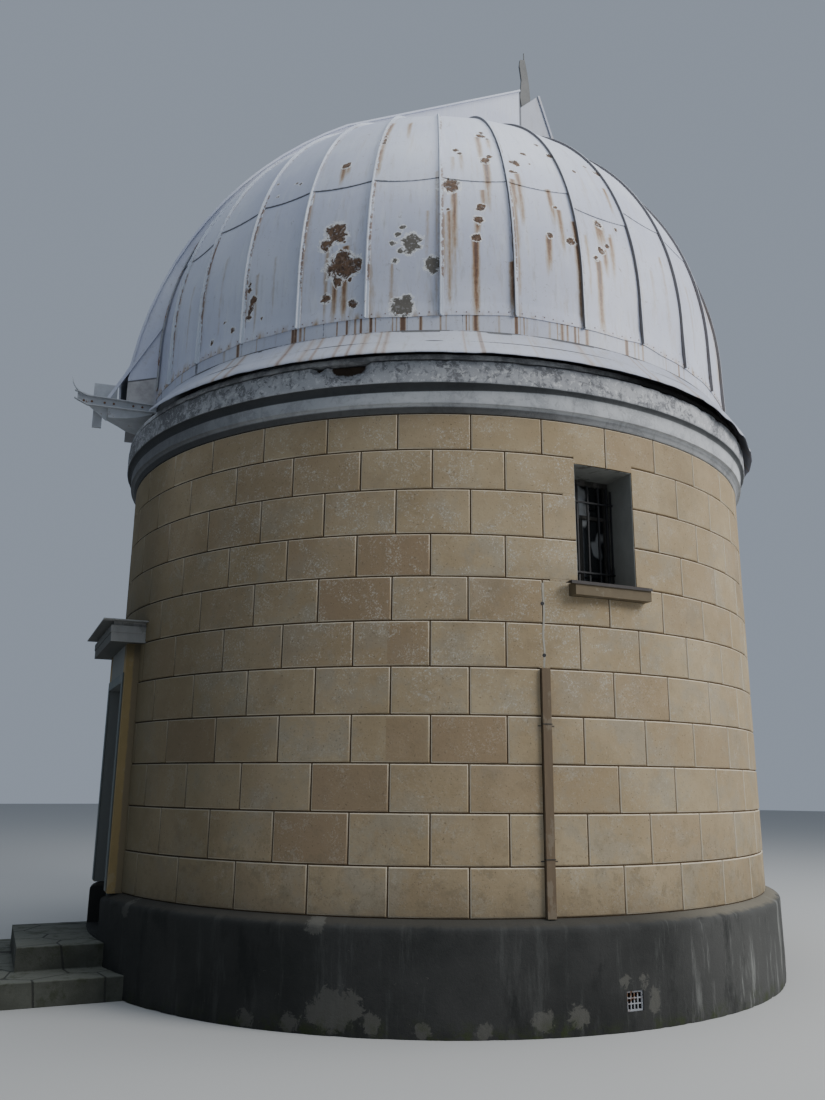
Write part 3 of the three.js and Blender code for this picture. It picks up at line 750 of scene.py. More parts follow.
# %% Cement moulding and the cornice
def cement_moulding():
    finish = Finish("cement_moulding", roughness=0.88, specular=0.3)
    _, _, height = finish.parts()
    bearing = finish.bearing()
    shade = shaded_side(finish, bearing, -10, -46)
    lit = finish.within(bearing, 2, 34, 110, 150)
    cloud = finish.grain(2.2, detail=7, rough=0.65)
    fine = finish.grain(52, detail=6, rough=0.7)
    fascia = finish.ramp(height, 4.415, 4.42)
    pale = finish.mix(finish.ramp(cloud, 0.3, 0.72), (0.40, 0.415, 0.435), (0.50, 0.515, 0.53))
    grey = finish.mix(finish.ramp(cloud, 0.3, 0.72), (0.34, 0.35, 0.37), (0.47, 0.48, 0.50))
    finish.paint(finish.mix(fascia, pale, grey))
    peeling = finish.grain(19, detail=9, rough=0.78, warp=0.6)
    # grime, with a little painted shade added on the shaded side
    grime_and_shade = finish.ramp(peeling + finish.grain(3.5, detail=3) * 0.5 + shade * 0.06, 0.74, 0.86)
    finish.coat(grime_and_shade * (0.2 + 0.5 * fascia), (0.088, 0.09, 0.098))
    runs = finish.blotch(0.56, 0.7, 15, detail=5, rough=0.7, place=finish.spoke(0.1))
    finish.coat(runs * (0.22 + 0.2 * lit), (0.14, 0.14, 0.14))
    bare = finish.blotch(0.545, 0.575, 23, detail=9, rough=0.78)
    finish.coat(bare * (0.15 + 0.7 * fascia), (0.58, 0.59, 0.60))
    # painted shade in the cove under the band, lighter on the lit side
    finish.coat(finish.ramp(height, 4.258, 4.246) * (0.85 - 0.45 * lit), (0.05, 0.047, 0.04))
    # painted shade in the hollow under the fascia
    above = height - finish.ramp(bearing, -4, 22) * 0.03
    hollow = finish.ramp(above, 4.352, 4.362) * finish.ramp(height, 4.4175, 4.414)
    finish.coat(hollow * (0.92 - 0.12 * lit), (0.022, 0.024, 0.025))
    finish.coat(shade * (0.72 - 0.42 * fascia), (0.035, 0.037, 0.04))
    broken = finish.stored("broken") + fine * 0.3
    finish.coat(finish.ramp(broken, 0.55, 0.65), (0.045, 0.03, 0.02))
    # painted shadow on the cornice's top edge, under the apron's lip
    finish.coat(finish.ramp(height, 4.583, 4.596) * 0.8, (0.03, 0.03, 0.03))
    finish.relief(cloud * 0.5 + fine * 0.5 + grime_and_shade * 0.4, 0.006, 0.7)
    return finish


moulding_finish = cement_moulding()
CORNICE_PROFILE = [
    (2.55, 4.2095), (3.008, 4.2095), (3.013, 4.214), (3.016, 4.225), (3.022, 4.240), (3.031, 4.254),
    (3.040, 4.264), (3.052, 4.2685), (3.0612, 4.270), (3.0625, 4.274), (3.062, 4.30), (3.062, 4.34),
    (3.062, 4.362), (3.064, 4.375), (3.070, 4.390), (3.078, 4.402), (3.090, 4.412), (3.103, 4.4165),
    (3.1055, 4.4205), (3.106, 4.43), (3.1055, 4.48), (3.106, 4.53), (3.1055, 4.548), (3.105, 4.565),
    (3.1045, 4.58), (3.098, 4.591), (3.085, 4.598), (2.95, 4.6), (2.55, 4.6),
]
BROKEN = [(-13.4, 4.585, 0.045), (-12.0, 4.59, 0.06), (-10.8, 4.585, 0.045), (-16.4, 4.588, 0.02)]
for name, (start, end) in {"front": (-20, 100), "back": (100, 220), "door": (220, 340)}.items():
    shape = bmesh.new()
    broken, = stored_on(shape, "broken")
    ring(shape, CORNICE_PROFILE, start, (end, 0.6))
    weather(shape, 3.0, 0.002, 3.4, edges=[(4.59, 0.05, 0.03), (4.418, 0.02, 0.008)])
    for vertex in shape.verts:
        place = vertex.co
        vertex[broken] = spots_at(BROKEN, bearing_of(place), place.z, 3.1)
        if place.z > 4.4 and math.hypot(place.x, place.y) > 3.05:
            inwards = 1 - 0.018 * min(1.0, max(0.0, vertex[broken] * 2.2))
            place.x, place.y = place.x * inwards, place.y * inwards
    piece(shape, f"cornice_{name}_moulding", moulding_finish, replaces=[f"cornice_{name}"], corner=40)
print("cornice run")

# %% [markdown]
# ## The dome's paint
#
# The sheets carry a pale grey paint that chalks, flakes and weeps rust. Where it rusts is not
# random: it starts at the standing ribs, at the laps and at a few big flaked patches, and runs
# straight down. So each sheet stores three soft attributes, "weep" for the runs, "bare" for the
# patches and "line" for painted shadow in the slits under an edge, and one finish reads them all.
# A piece without an attribute reads 0 from it, so the plain sheets of the hood share the same recipe.

# %% Chalky dome paint with rust
def dome_paint(name, marked=True, dirt=0.0):
    finish = Finish(name, roughness=0.5, specular=0.45)
    worn = 1 - 0.42 * dirt
    cloud = finish.grain(0.9, detail=5)
    fine = finish.grain(42, detail=6, rough=0.7)
    dull = scaled((0.455, 0.482, 0.59), worn)
    clean = scaled((0.56, 0.585, 0.665), worn)
    finish.paint(finish.mix(finish.ramp(cloud, 0.32, 0.7), dull, clean))
    run = finish.spoke(0.05)
    chalk = finish.blotch(0.5, 0.72, 40, detail=6, rough=0.7, place=run)
    finish.coat(chalk * 0.3, scaled((0.66, 0.685, 0.70), worn))
    _, _, height = finish.parts()
    low = finish.ramp(height, 6.5, 5.9)
    dust = finish.blotch(0.52, 0.72, 64, detail=7, rough=0.74, place=run)
    aged = finish.ramp(finish.bearing(), -24, -12)
    finish.coat(dust * (0.14 + 0.24 * low + 0.3 * dirt + 0.2 * aged), (0.30, 0.275, 0.235))
    tan = finish.blotch(0.54, 0.68, 30, detail=8, rough=0.76, place=run)
    finish.coat(tan * aged * 0.32, (0.40, 0.33, 0.245))
    specks = finish.blotch(0.60, 0.625, 24, detail=10, rough=0.82, warp=0.8)
    finish.coat(specks * (0.3 + 0.2 * low + 0.3 * aged), (0.20, 0.165, 0.14))
    if dirt:
        blot = finish.blotch(0.52, 0.66, 7, detail=8, rough=0.74, warp=0.5)
        finish.coat(blot * 0.55 * dirt, (0.245, 0.225, 0.185))
    bump = fine * 0.5
    if marked:
        weep, bare, line = (finish.stored(kind) for kind in ("weep", "bare", "line"))
        thread = finish.grain(120, detail=5, rough=0.72, place=finish.spoke(0.06))
        ragged = finish.grain(30, detail=8, rough=0.78, warp=0.6)
        wet = finish.ramp(weep + thread * 0.55 + ragged * 0.25, 0.46, 0.84)
        finish.coat(wet * (0.85 - 0.75 * dirt), (0.355, 0.28, 0.19))
        core = finish.ramp(weep + thread * 0.6 + ragged * 0.35, 0.80, 1.10)
        finish.coat(core * (0.9 - 0.85 * dirt), (0.215, 0.115, 0.055))
        deep = finish.ramp(weep + thread * 0.5 + ragged * 0.7, 1.16, 1.38)
        finish.coat(deep * (0.85 - 0.8 * dirt), (0.085, 0.04, 0.024))
        torn = finish.grain(10, detail=12, rough=0.8, warp=1.4) * 2.0
        present = finish.ramp(bare, 0.0, 0.2)
        rim = finish.ramp(bare + torn, 1.34, 1.39) * present
        flaked = finish.ramp(bare + torn, 1.48, 1.52) * present
        primer = finish.within(finish.bearing(), -9.2, -8.4, 0.8, 1.6)
        rust = finish.mix(finish.ramp(ragged, 0.36, 0.62), (0.036, 0.02, 0.014), (0.15, 0.088, 0.05))
        under = finish.mix(primer, rust, (0.115, 0.105, 0.09))
        under = finish.mix(finish.blotch(0.56, 0.6, 38, detail=8, rough=0.8) * 0.5, under, (0.5, 0.51, 0.53))
        finish.coat(rim * 0.85, (0.74, 0.75, 0.75))
        finish.coat(flaked, under)
        # painted shadow: near black where the stored line marks a slit under an edge
        slit = finish.ramp(line + fine * 0.35 + ragged * 0.4, 0.72, 0.95)
        finish.coat(slit * 0.9, (0.024, 0.021, 0.019))
        finish.plug(finish.ramp(flaked, 0.0, 1.0) * 0.35 + 0.48, finish.shader.inputs["Roughness"])
        bump = bump + rim * 0.6 - flaked * 1.5
    finish.relief(bump, 0.003, 0.5)
    return finish


dome_finish = dome_paint("dome_paint")
drum_finish = dome_paint("drum_paint", dirt=0.15)
apron_finish = dome_paint("apron_paint", dirt=0.65)
trim_finish = dome_paint("dome_trim", marked=False)
print("dome paint mixed")

# %% [markdown]
# ## Where it rusts
#
# Each run is a bearing, or two where it leans from its foot to its top, then two heights and a
# strength. Each flaked patch is a bearing, a height and a rough size in metres, and fades out at
# 2.6 times that. They were read off against the ribs. The side away from the viewer gets
# its own, strewn with a seeded generator.

# %% Runs and patches
RUNS = [
    (6.35, 5.03, 5.72, 1.0), (6.5, 6.9, 5.75, 5.90, 0.9), (8.85, 9.05, 6.22, 6.57, 1.0),
    (8.8, 8.9, 6.0, 6.22, 0.55), (7.9, 5.99, 6.2, 0.7), (3.1, 3.15, 5.55, 6.15, 0.8),
    (3.1, 5.1, 5.6, 0.35), (2.3, 5.1, 5.95, 0.65), (1.5, 1.45, 5.35, 5.9, 0.5),
    (8.3, 8.5, 6.60, 6.97, 0.8), (10.4, 10.5, 6.75, 6.95, 0.55), (4.7, 6.4, 6.65, 0.5),
    (3.1, 3.2, 6.4, 6.6, 0.45), (13.3, 6.05, 6.36, 0.8), (14.3, 14.4, 5.9, 6.45, 0.75),
    (13.1, 5.2, 6.3, 0.55), (18.1, 18.4, 5.5, 5.8, 0.9), (19.9, 19.7, 6.0, 6.32, 0.8),
    (20.9, 5.7, 6.1, 0.75), (22.8, 22.9, 5.5, 5.78, 0.4), (23.3, 5.05, 6.0, 0.75),
    (27.9, 28.2, 5.85, 6.1, 0.7), (28.5, 28.7, 5.85, 6.1, 0.8), (29.1, 29.2, 5.85, 6.05, 0.6),
    (27.2, 5.06, 5.68, 1.0), (28.8, 5.6, 5.8, 0.8), (30.3, 30.5, 5.6, 5.95, 0.7), (30.8, 5.7, 6.0, 0.5),
    (33, 33.5, 6.3, 6.6, 0.6), (-13.9, 5.03, 5.66, 0.9), (-15.5, 5.03, 5.36, 0.75),
    (-17, 5.03, 5.64, 0.55), (-6.55, -6.5, 5.05, 5.45, 0.45), (-1.2, -1.1, 5.5, 5.95, 0.4),
    (-10.0, 6.4, 6.75, 0.8), (-16.3, -16.5, 6.38, 6.6, 0.8), (-15.6, 6.45, 6.58, 0.6),
    (-21.2, 5.03, 6.3, 0.55), (-5.3, -5.6, 6.95, 7.3, 0.65), (11.9, 5.06, 5.5, 0.75),
    (-9.9, 6.7, 7.3, 0.85), (0.4, 5.1, 6.4, 0.4), (35.6, 5.2, 6.2, 0.55), (46.8, 5.1, 6.0, 0.5),
    (39.5, 5.3, 5.8, 0.4), (43.0, 43.2, 5.2, 6.0, 0.45), (51.5, 5.2, 5.9, 0.4), (-26.5, 5.1, 5.7, 0.35),
    (-29.8, 5.05, 5.6, 0.4), (-38.0, 5.1, 5.9, 0.35), (-47.5, 5.1, 5.8, 0.35), (25.3, 5.3, 5.9, 0.45),
]
RUNS = [run if len(run) == 5 else (run[0], *run) for run in RUNS]
PATCHES = [
    (-16.0, 5.86, 0.06), (-15.0, 5.80, 0.045), (-17.5, 5.74, 0.04), (-16.7, 5.75, 0.03),
    (-14.3, 5.51, 0.085), (-14.3, 5.60, 0.045), (-12.0, 5.53, 0.035), (-15.0, 5.385, 0.035),
    (-13.0, 5.38, 0.015), (-16.9, 5.25, 0.03), (-12.4, 5.17, 0.03), (-4.6, 5.11, 0.06), (-4.1, 5.18, 0.03),
    (-3.6, 5.67, 0.06), (-6.5, 5.68, 0.02), (-5.7, 5.76, 0.02), (-5.0, 5.83, 0.02), (-5.2, 5.61, 0.02),
    (-6.0, 5.52, 0.02), (-0.2, 5.475, 0.05), (2.6, 6.265, 0.06), (7.4, 6.04, 0.03), (6.9, 5.91, 0.03),
    (6.5, 5.73, 0.028), (2.1, 6.0, 0.013), (9.0, 6.61, 0.035), (9.9, 6.68, 0.02), (9.2, 7.03, 0.03),
    (9.6, 7.10, 0.018), (10.5, 6.98, 0.012), (3.8, 6.74, 0.02), (4.5, 6.69, 0.015), (14.8, 6.63, 0.03),
    (14.0, 6.64, 0.02), (17.0, 6.81, 0.02), (13.5, 6.5, 0.02), (14.4, 6.5, 0.012), (17.6, 6.67, 0.012),
    (21.6, 7.04, 0.022), (23.2, 6.875, 0.028), (18.6, 5.84, 0.02), (22.3, 5.826, 0.028),
    (20.5, 6.16, 0.015), (28.6, 6.10, 0.033), (28.2, 5.82, 0.03), (29.6, 5.89, 0.018), (26.8, 5.73, 0.022),
    (34.8, 6.875, 0.035), (27.5, 6.74, 0.015), (32.0, 6.92, 0.018), (32.5, 6.11, 0.015),
    (-16.2, 6.63, 0.028), (-15.8, 6.66, 0.015), (-31.0, 6.65, 0.014), (-29.4, 6.46, 0.016),
    (-25.0, 6.53, 0.015), (-31.2, 5.49, 0.018), (-10.1, 6.90, 0.02), (-10.15, 6.96, 0.025),
    (-10.2, 7.03, 0.02), (-31.2, 5.54, 0.016), (-30.3, 5.39, 0.028), (-30.7, 5.31, 0.022),
    (-31.0, 5.24, 0.024), (-28.4, 5.2, 0.014), (-34.5, 5.18, 0.02), (-36.5, 5.28, 0.014),
    (-39.5, 5.14, 0.018), (-26.0, 6.56, 0.014),
]
random.seed(21)
UNSEEN_RUNS = 34
for number in range(UNSEEN_RUNS):
    bearing, low = random.uniform(62, 272), random.uniform(5.06, 6.6)
    RUNS.append((bearing, bearing, low, low + random.uniform(0.3, 1.0), random.uniform(0.45, 0.95)))
    if number % 2 == 0:
        PATCHES.append((bearing, low + random.uniform(0.2, 0.9), random.uniform(0.02, 0.06)))
print(len(RUNS), "runs and", len(PATCHES), "patches")

# %% [markdown]
# ## Sheets of the dome
#
# Thirty-one gores make the dome, a little uneven in width, each of two sheets: a tall lower one
# and an upper one that laps over it. A gore starts as a flat grid, is bent onto the dome, a
# little flat across as real sheet is, and is cut where the slit runs. Its foot hangs a few
# centimetres over the band below, never quite level. Solidify then gives it thickness inwards,
# down to the inner face of the solid it stands for. The grid is finer on the side that faces
# the viewer, because the rust is stored on its vertices.

# %% Bend and cut the dome's sheets
SLOT_SIDE = 0.5615
SLOT_REAR = 1.5105
FLATTENED = 0.007
SHEET = 0.024
along_slit = Vector((math.sin(math.radians(SLIT)), -math.cos(math.radians(SLIT)), 0))
across_slit = Vector((math.cos(math.radians(SLIT)), math.sin(math.radians(SLIT)), 0))
RIBS = [-53.0, -43.1, -32.2, -21.55, -10.4, 0.9, 12.25, 23.6, 35.2, 46.4, 57.45]
RIBS += [57.45 + 11.0125 * number for number in range(1, 20)]
GORES = list(zip([-62.0, *RIBS], [*RIBS, 279.5]))
SEAMS = {"near": (-71.3, -10.4), "right": (-10.4, 57.45), "rear": (57.45, 167.575),
         "far": (167.575, 222.6375), "left": (222.6375, 288.7)}
LAPS = {23.6: 15.6, 35.2: 19.4, 46.4: 18.7, -53.0: 16.4, -43.1: 18.0}
FOOT_LINE = [
    (-62, 4.97), (-60, 4.97), (-53, 4.985), (-43.5, 5.005), (-36, 5.005), (-32.6, 5.02), (-26, 5.015),
    (-21.8, 5.025), (-15, 5.028), (-10.4, 5.033), (-4, 5.02), (1, 5.032), (7, 5.042), (12.3, 5.058),
    (18, 5.047), (24, 5.043), (31, 5.035), (35, 5.056), (40, 5.02), (46, 5.017), (50, 5.005), (54, 5.01),
    (60, 4.99), (75, 5.02), (280, 5.02),
]


def foot_at(bearing):
    away = between(bearing, [(56, 0.0), (90, 1.0)])
    return between(bearing, FOOT_LINE) + away * 0.02 * noise.noise(Vector((bearing * 0.13, 0.5, 3.0)))


def flare_at(bearing, height):
    """How far the sheets stand off near their foot, in metres."""
    return 0.010 * max(0.0, 1 - (height - foot_at(bearing)) / 0.12)


def foot_climb(bearing, _side):
    return math.degrees((foot_at(bearing) - SPRING) / DOME)


def on_dome(bearing, climb, lift=0.0):
    """A place on the dome: climb is in degrees above the spring, and negative ones go straight down."""
    angle = math.radians(climb)
    if climb < 0:
        return at(bearing, DOME + lift, SPRING + DOME * angle)
    return at(bearing, (DOME + lift) * math.cos(angle), SPRING + (DOME + lift) * math.sin(angle))


def dome_sheet(shape, gore, low, high, lift, rows, columns, layers, pace):
    """Bends a grid onto the dome. low and high give a climb for (bearing, side), side from -1 to 1."""
    weep, bare, line = layers
    made = bmesh.ops.create_grid(shape, x_segments=columns, y_segments=rows, size=0.5)["verts"]
    for vertex in made:
        side, way = vertex.co.x * 2, between(vertex.co.y + 0.5, pace)
        bearing = gore[0] + (gore[1] - gore[0]) * (side + 1) / 2
        foot = low(bearing, side)
        climb = foot + (high(bearing, side) - foot) * way
        place = on_dome(bearing, climb)
        above = min(1.0, max(0.0, (place.z - 5.1) / 0.2))
        flat = FLATTENED * (1 - side**2) * math.cos(math.radians(max(0.0, climb)))
        bulge = noise.noise(place * 2.3) * 0.0025 - flat
        flare = 0.0 if lift else flare_at(bearing, place.z)
        vertex.co = on_dome(bearing, climb, lift + bulge * above + flare)
        radius = math.hypot(place.x, place.y)
        slope = max(0.3, radius / DOME)
        beside = min(math.radians(bearing - gore[0]) * radius, 0.2)
        spread = 1.0 if -60 < bearing < 50 else 0.6
        patchy = 0.30 + 0.55 * noise.noise(Vector((gore[0], place.z * 1.7, 2.0)))
        rib = spread * max(0.0, 1 - beside / 0.09) * patchy
        lap = max(0.0, 1 - (place.z - 5.0) / 0.12) * (0.25 + 0.5 * noise.noise(Vector((bearing * 0.9, 0, 5))))
        lower = 1.0 if climb < 19 else 0.5
        vertex[weep] = max(0.0, runs_at(RUNS, bearing, place.z, radius), rib * lower, lap)
        vertex[bare] = max(0.0, spots_at(PATCHES, bearing, place.z, radius, slope))
        # line is painted shadow under the upper sheet's lower edge, where it laps the lower one
        vertex[line] = (0.68 if bearing < -8 else 0.5) * max(0.0, 1 - way * 110) if lift else 0.0


def open_slot(shape):
    """Cuts along the slot's three sides and takes away the faces that lie inside it."""
    cuts = [(across_slit, SLOT_SIDE), (across_slit, -SLOT_SIDE), (along_slit, -SLOT_REAR)]
    for direction, offset in cuts:
        sliced(shape, direction, offset)
    inside = []
    for face in shape.faces:
        middle = face.calc_center_median()
        if abs(middle.dot(across_slit)) < SLOT_SIDE and middle.dot(along_slit) > -SLOT_REAR:
            inside.append(face)
    bmesh.ops.delete(shape, geom=inside, context="FACES")


EVEN = [(0, 0), (1, 1)]
DENSE_BELOW = [(0, 0), (0.76, 0.3), (1, 1)]
# Columns across a gore, then rows up its lower and its upper sheet.
GRIDS = {"front": (40, 80, 92), "sides": (22, 44, 48), "behind": (9, 16, 28)}
for name, (start, end) in SEAMS.items():
    shape = bmesh.new()
    layers = stored_on(shape, "weep", "bare", "line")
    for gore in GORES:
        if not start - 0.1 < (gore[0] + gore[1]) / 2 < end + 0.1:
            continue
        place = "front" if -22 < gore[0] < 30 else "sides" if -60 < gore[0] < 50 else "behind"
        columns, lower_rows, upper_rows = GRIDS[place]
        lap = LAPS.get(gore[0], 18.8)
        dome_sheet(shape, gore, foot_climb, lambda _, side: lap + 0.5, 0.0, lower_rows, columns, layers, EVEN)
        dome_sheet(shape, gore, lambda _, side: lap - 0.4 + 0.6 * side**2, lambda _, side: 89.7,
                   0.0045, upper_rows, columns, layers, DENSE_BELOW)
    open_slot(shape)
    bmesh.ops.recalc_face_normals(shape, faces=shape.faces)
    outward = sum(face.normal.dot(face.calc_center_median() - Vector((0, 0, SPRING))) for face in shape.faces)
    if outward < 0:
        bmesh.ops.reverse_faces(shape, faces=shape.faces)
    bmesh.ops.solidify(shape, geom=shape.faces[:], thickness=SHEET)
    sheets = piece(shape, f"dome_sheets_{name}", dome_finish, "dome", [f"gores_{name}"], corner=40)
    print(sheets.name, len(sheets.data.polygons), "faces")

# %% [markdown]
# ## Standing ribs, nails and flashings
#
# Where two gores meet, their edges are turned up together into a thin standing rib, with a
# narrow flake-prone foot beside it. Its section is drawn once, pulled up the drum, and spun
# about a level axis through the dome's centre up to the slit, where one cut leaves it flush
# with the cheek. A row of nails holds the sheets' foot. Along the slit itself the sheets end
# under a strip of tin that lies on the dome against the cheek, its edge there raised 3 mm.

# %% Iron, ribs and nails
def rusty_iron(name, colour, rust_amount, roughness=0.7):
    finish = Finish(name, roughness=roughness, specular=0.4)
    cloud = finish.grain(6, detail=7, rough=0.68)
    fine = finish.grain(48, detail=6, rough=0.7)
    rust = finish.mix(fine, (0.06, 0.026, 0.014), (0.24, 0.115, 0.05))
    base = finish.mix(finish.ramp(cloud, 0.3, 0.7), colour, scaled(colour, 1.3))
    eaten = finish.ramp(cloud + fine * 0.45, 0.86 - rust_amount * 0.5, 0.96 - rust_amount * 0.5)
    finish.paint(finish.mix(eaten, base, rust))
    finish.relief(fine * 0.6 + eaten * 0.4, 0.002, 0.6)
    return finish


def rib_paint():
    """The dome's paint, flaking to rust on the narrow foot beside each rib."""
    finish = Finish("rib_paint", roughness=0.5, specular=0.45)
    x, y, z = finish.parts()
    up = finish.maths("MAXIMUM", z - SPRING, 0.0)
    radius = finish.distance(x, y, up)
    cloud = finish.grain(1.4, detail=5)
    finish.paint(finish.mix(finish.ramp(cloud, 0.32, 0.7), (0.45, 0.487, 0.56), (0.545, 0.585, 0.65)))
    flakes = finish.grain(24, detail=8, rough=0.78)
    low = finish.ramp(radius, DOME + 0.006, DOME + 0.003)
    lost = finish.ramp(flakes + low * 0.15 + finish.grain(2.2, detail=3) * 0.25, 0.72, 0.78)
    rust = finish.mix(finish.grain(60, detail=5), (0.075, 0.04, 0.026), (0.27, 0.16, 0.085))
    finish.coat(lost * 0.85, rust)
    shaded = finish.stored("shade") * finish.ramp(finish.bearing(), 0, 14)
    finish.coat(shaded * 0.8, (0.085, 0.062, 0.048))
    finish.relief(flakes * 0.5 - lost * 0.5, 0.002, 0.5)
    return finish


rib_finish = rib_paint()
nail_finish = rusty_iron("rusty_nails", (0.07, 0.055, 0.045), 0.9)
iron_finish = rusty_iron("grey_iron", (0.30, 0.31, 0.33), 0.2, roughness=0.6)


def rib_end(bearing):
    """How far up a rib runs, in degrees, and the slot side that stops it."""
    off = math.radians(bearing - SLIT)
    beside = SLOT_SIDE / max(1e-6, abs(math.sin(off)))
    behind = SLOT_REAR / -math.cos(off) if math.cos(off) < 0 else 99
    if behind < beside:
        return math.degrees(math.acos(behind / DOME)), (-along_slit, SLOT_REAR)
    sign = 1 if math.sin(off) > 0 else -1
    return math.degrees(math.acos(min(1.0, beside / DOME))), (across_slit * sign, SLOT_SIDE)


RIB_SECTION = [
    (-0.0065, -0.006), (-0.0065, 0.0245), (-0.0045, 0.026), (0.0045, 0.026), (0.0065, 0.0245),
    (0.0068, 0.0045), (0.026, 0.0028), (0.0275, 0.001), (0.0275, -0.006),
]


def add_rib(shape, bearing):
    shade, = stored_on(shape, "shade")
    end = min(rib_end(bearing)[0] + 9, 89)
    tangent = at(bearing + 90, 1, 0)
    low = foot_at(bearing) - 0.003
    foot = section(shape, [at(bearing, DOME + lift, low) + tangent * side for side, lift in RIB_SECTION])
    made = bmesh.ops.extrude_face_region(shape, geom=[foot])["geom"]
    raised = [part for part in made if isinstance(part, bmesh.types.BMVert)]
    bmesh.ops.translate(shape, verts=raised, vec=(0, 0, SPRING - low))
    swept(shape, made, -tangent, (0, 0, SPRING), end, round(end / 2))
    for vertex in shape.verts:
        vertex[shade] = float(vertex.co.dot(tangent) < -0.006)
        if vertex.co.z < 5.1:
            vertex.co.x, vertex.co.y = vertex.co.x * 1.0032, vertex.co.y * 1.0032


def trim_rib(shape, direction, offset):
    cut = sliced(shape, direction, offset, clear_inner=True)
    bmesh.ops.holes_fill(shape, edges=[part for part in cut if isinstance(part, bmesh.types.BMEdge)], sides=0)


joined = bmesh.new()
stored_on(joined, "shade")
for bearing in RIBS:
    shape = bmesh.new()
    add_rib(shape, bearing)
    trim_rib(shape, *rib_end(bearing)[1])
    spare = bpy.data.meshes.new("spare")
    shape.to_mesh(spare)
    shape.free()
    joined.from_mesh(spare)
    bpy.data.meshes.remove(spare)
ribs = piece(joined, "dome_ribs", rib_finish, "dome", corner=25)

nails = bmesh.new()
random.seed(3)
bearing, last = SLIT + 12.4, SLIT + 347
while bearing < last:
    height = foot_at(bearing) + random.uniform(0.022, 0.032)
    place = on_face(bearing, DOME + flare_at(bearing, height) + 0.0015, height)
    stud(nails, place, "X", 6, 0.0055, 0.004, 0.004)
    bearing += random.uniform(1.4, 2.1)
piece(nails, "foot_nails", nail_finish, "dome", corner=20)
print(len(RIBS), "ribs,", len(ribs.data.polygons), "faces")

# %% [markdown]
# ## Flashing, drum band and rain apron
#
# The strip along each cheek is a flat grid bent onto the dome, like the sheets. Below the
# sheets a plain band covers the drum, and under it the apron spreads like a skirt over the
# cornice to throw the rain off. It stops on both sides of the slit. It is thin, so its lip
# waves, and on the right it has come loose and hangs down. Its upper edge gapes in places;
# the gap is not modelled, and the stored "line" paints its shadow dark there.

# %% Strips along the slit
def cheek_strip(shape, side):
    """A strip lying on the dome against one cheek, from the drum to the back of the slit."""
    made = bmesh.ops.create_grid(shape, x_segments=70, y_segments=2, size=0.5)["verts"]
    for vertex in made:
        way, out = vertex.co.x + 0.5, vertex.co.y + 0.5
        across = side * (0.5618 + 0.034 * out)
        rim = math.sqrt(DOME**2 - across**2)
        turn_by = math.radians(-7 + (7 + 121) * way)
        along = rim * math.cos(turn_by) if turn_by > 0 else rim
        height = SPRING + (rim * math.sin(turn_by) if turn_by > 0 else rim * turn_by)
        lift = 1 + (0.0105 + 0.003 * (out < 0.1)) / DOME
        place = along_slit * along + across_slit * across
        vertex.co = Vector((place.x * lift, place.y * lift, SPRING + (height - SPRING) * lift))


shape = bmesh.new()
for side in (-1, 1):
    cheek_strip(shape, side)
bmesh.ops.recalc_face_normals(shape, faces=shape.faces)
bmesh.ops.solidify(shape, geom=shape.faces[:], thickness=0.004)
strip_finish = rusty_iron("slit_strip", (0.33, 0.345, 0.35), 0.26, roughness=0.6)
piece(shape, "slit_strips", strip_finish, "dome")
print("strips in place")

# %% The drum's band
DRUM_RUNS = [
    (-48.0, 0.4, 0.35), (-36.0, 0.4, 0.3), (-32.9, 0.4, 0.75), (-29.0, 0.2, 0.35), (-22.2, 0.3, 0.9),
    (-21.7, 0.2, 1.0), (-20.9, 0.3, 0.6), (-20.2, 0.2, 0.5), (-14.8, 0.12, 0.6), (-13.25, 0.16, 1.1),
    (-12.0, 0.12, 0.5), (-11.75, 0.12, 0.5), (-11.05, 0.16, 1.15), (-9.5, 0.3, 0.8), (-8.8, 0.15, 0.5),
    (-6.2, 0.15, 0.4), (-5.6, 0.15, 0.4), (-4.65, 0.5, 1.1), (-2.0, 0.3, 0.7), (0.95, 0.2, 0.55),
    (1.75, 0.15, 0.45), (4.75, 0.15, 0.8), (5.2, 0.12, 0.4), (6.2, 0.6, 0.65), (9.7, 0.18, 0.5),
    (12.4, 0.28, 1.15), (12.95, 0.12, 0.5), (13.6, 0.12, 0.5), (14.1, 0.12, 0.5), (17.7, 0.3, 0.4),
    (19.0, 0.15, 0.5), (19.8, 0.4, 0.6), (20.7, 0.16, 0.95), (22.0, 0.22, 1.0), (22.6, 0.15, 0.6),
    (24.1, 0.4, 0.65), (31.8, 0.4, 0.95), (33.5, 0.15, 0.6), (34.3, 0.15, 0.55), (35.3, 0.3, 0.5),
    (41.0, 0.12, 0.4), (44.7, 0.25, 0.75), (46.3, 0.2, 0.4),
]
DRUM_DARK = [
    (-43.3, 0.5, 0.8), (-32.1, 0.15, 0.7), (-17.0, 0.25, 0.5), (-9.4, 0.12, 0.6), (-4.0, 0.08, 0.6),
    (4.2, 0.1, 0.5), (23.1, 0.12, 0.7), (39.1, 0.12, 0.6), (-57, 0.5, 0.5),
]


def stripes_at(stripes, bearing):
    """The strongest of some upright stripes (bearing, half width in degrees, strength) at a bearing."""
    return max(strength * max(0.0, 1.25 - abs(bearing - middle) / half) for middle, half, strength in stripes)


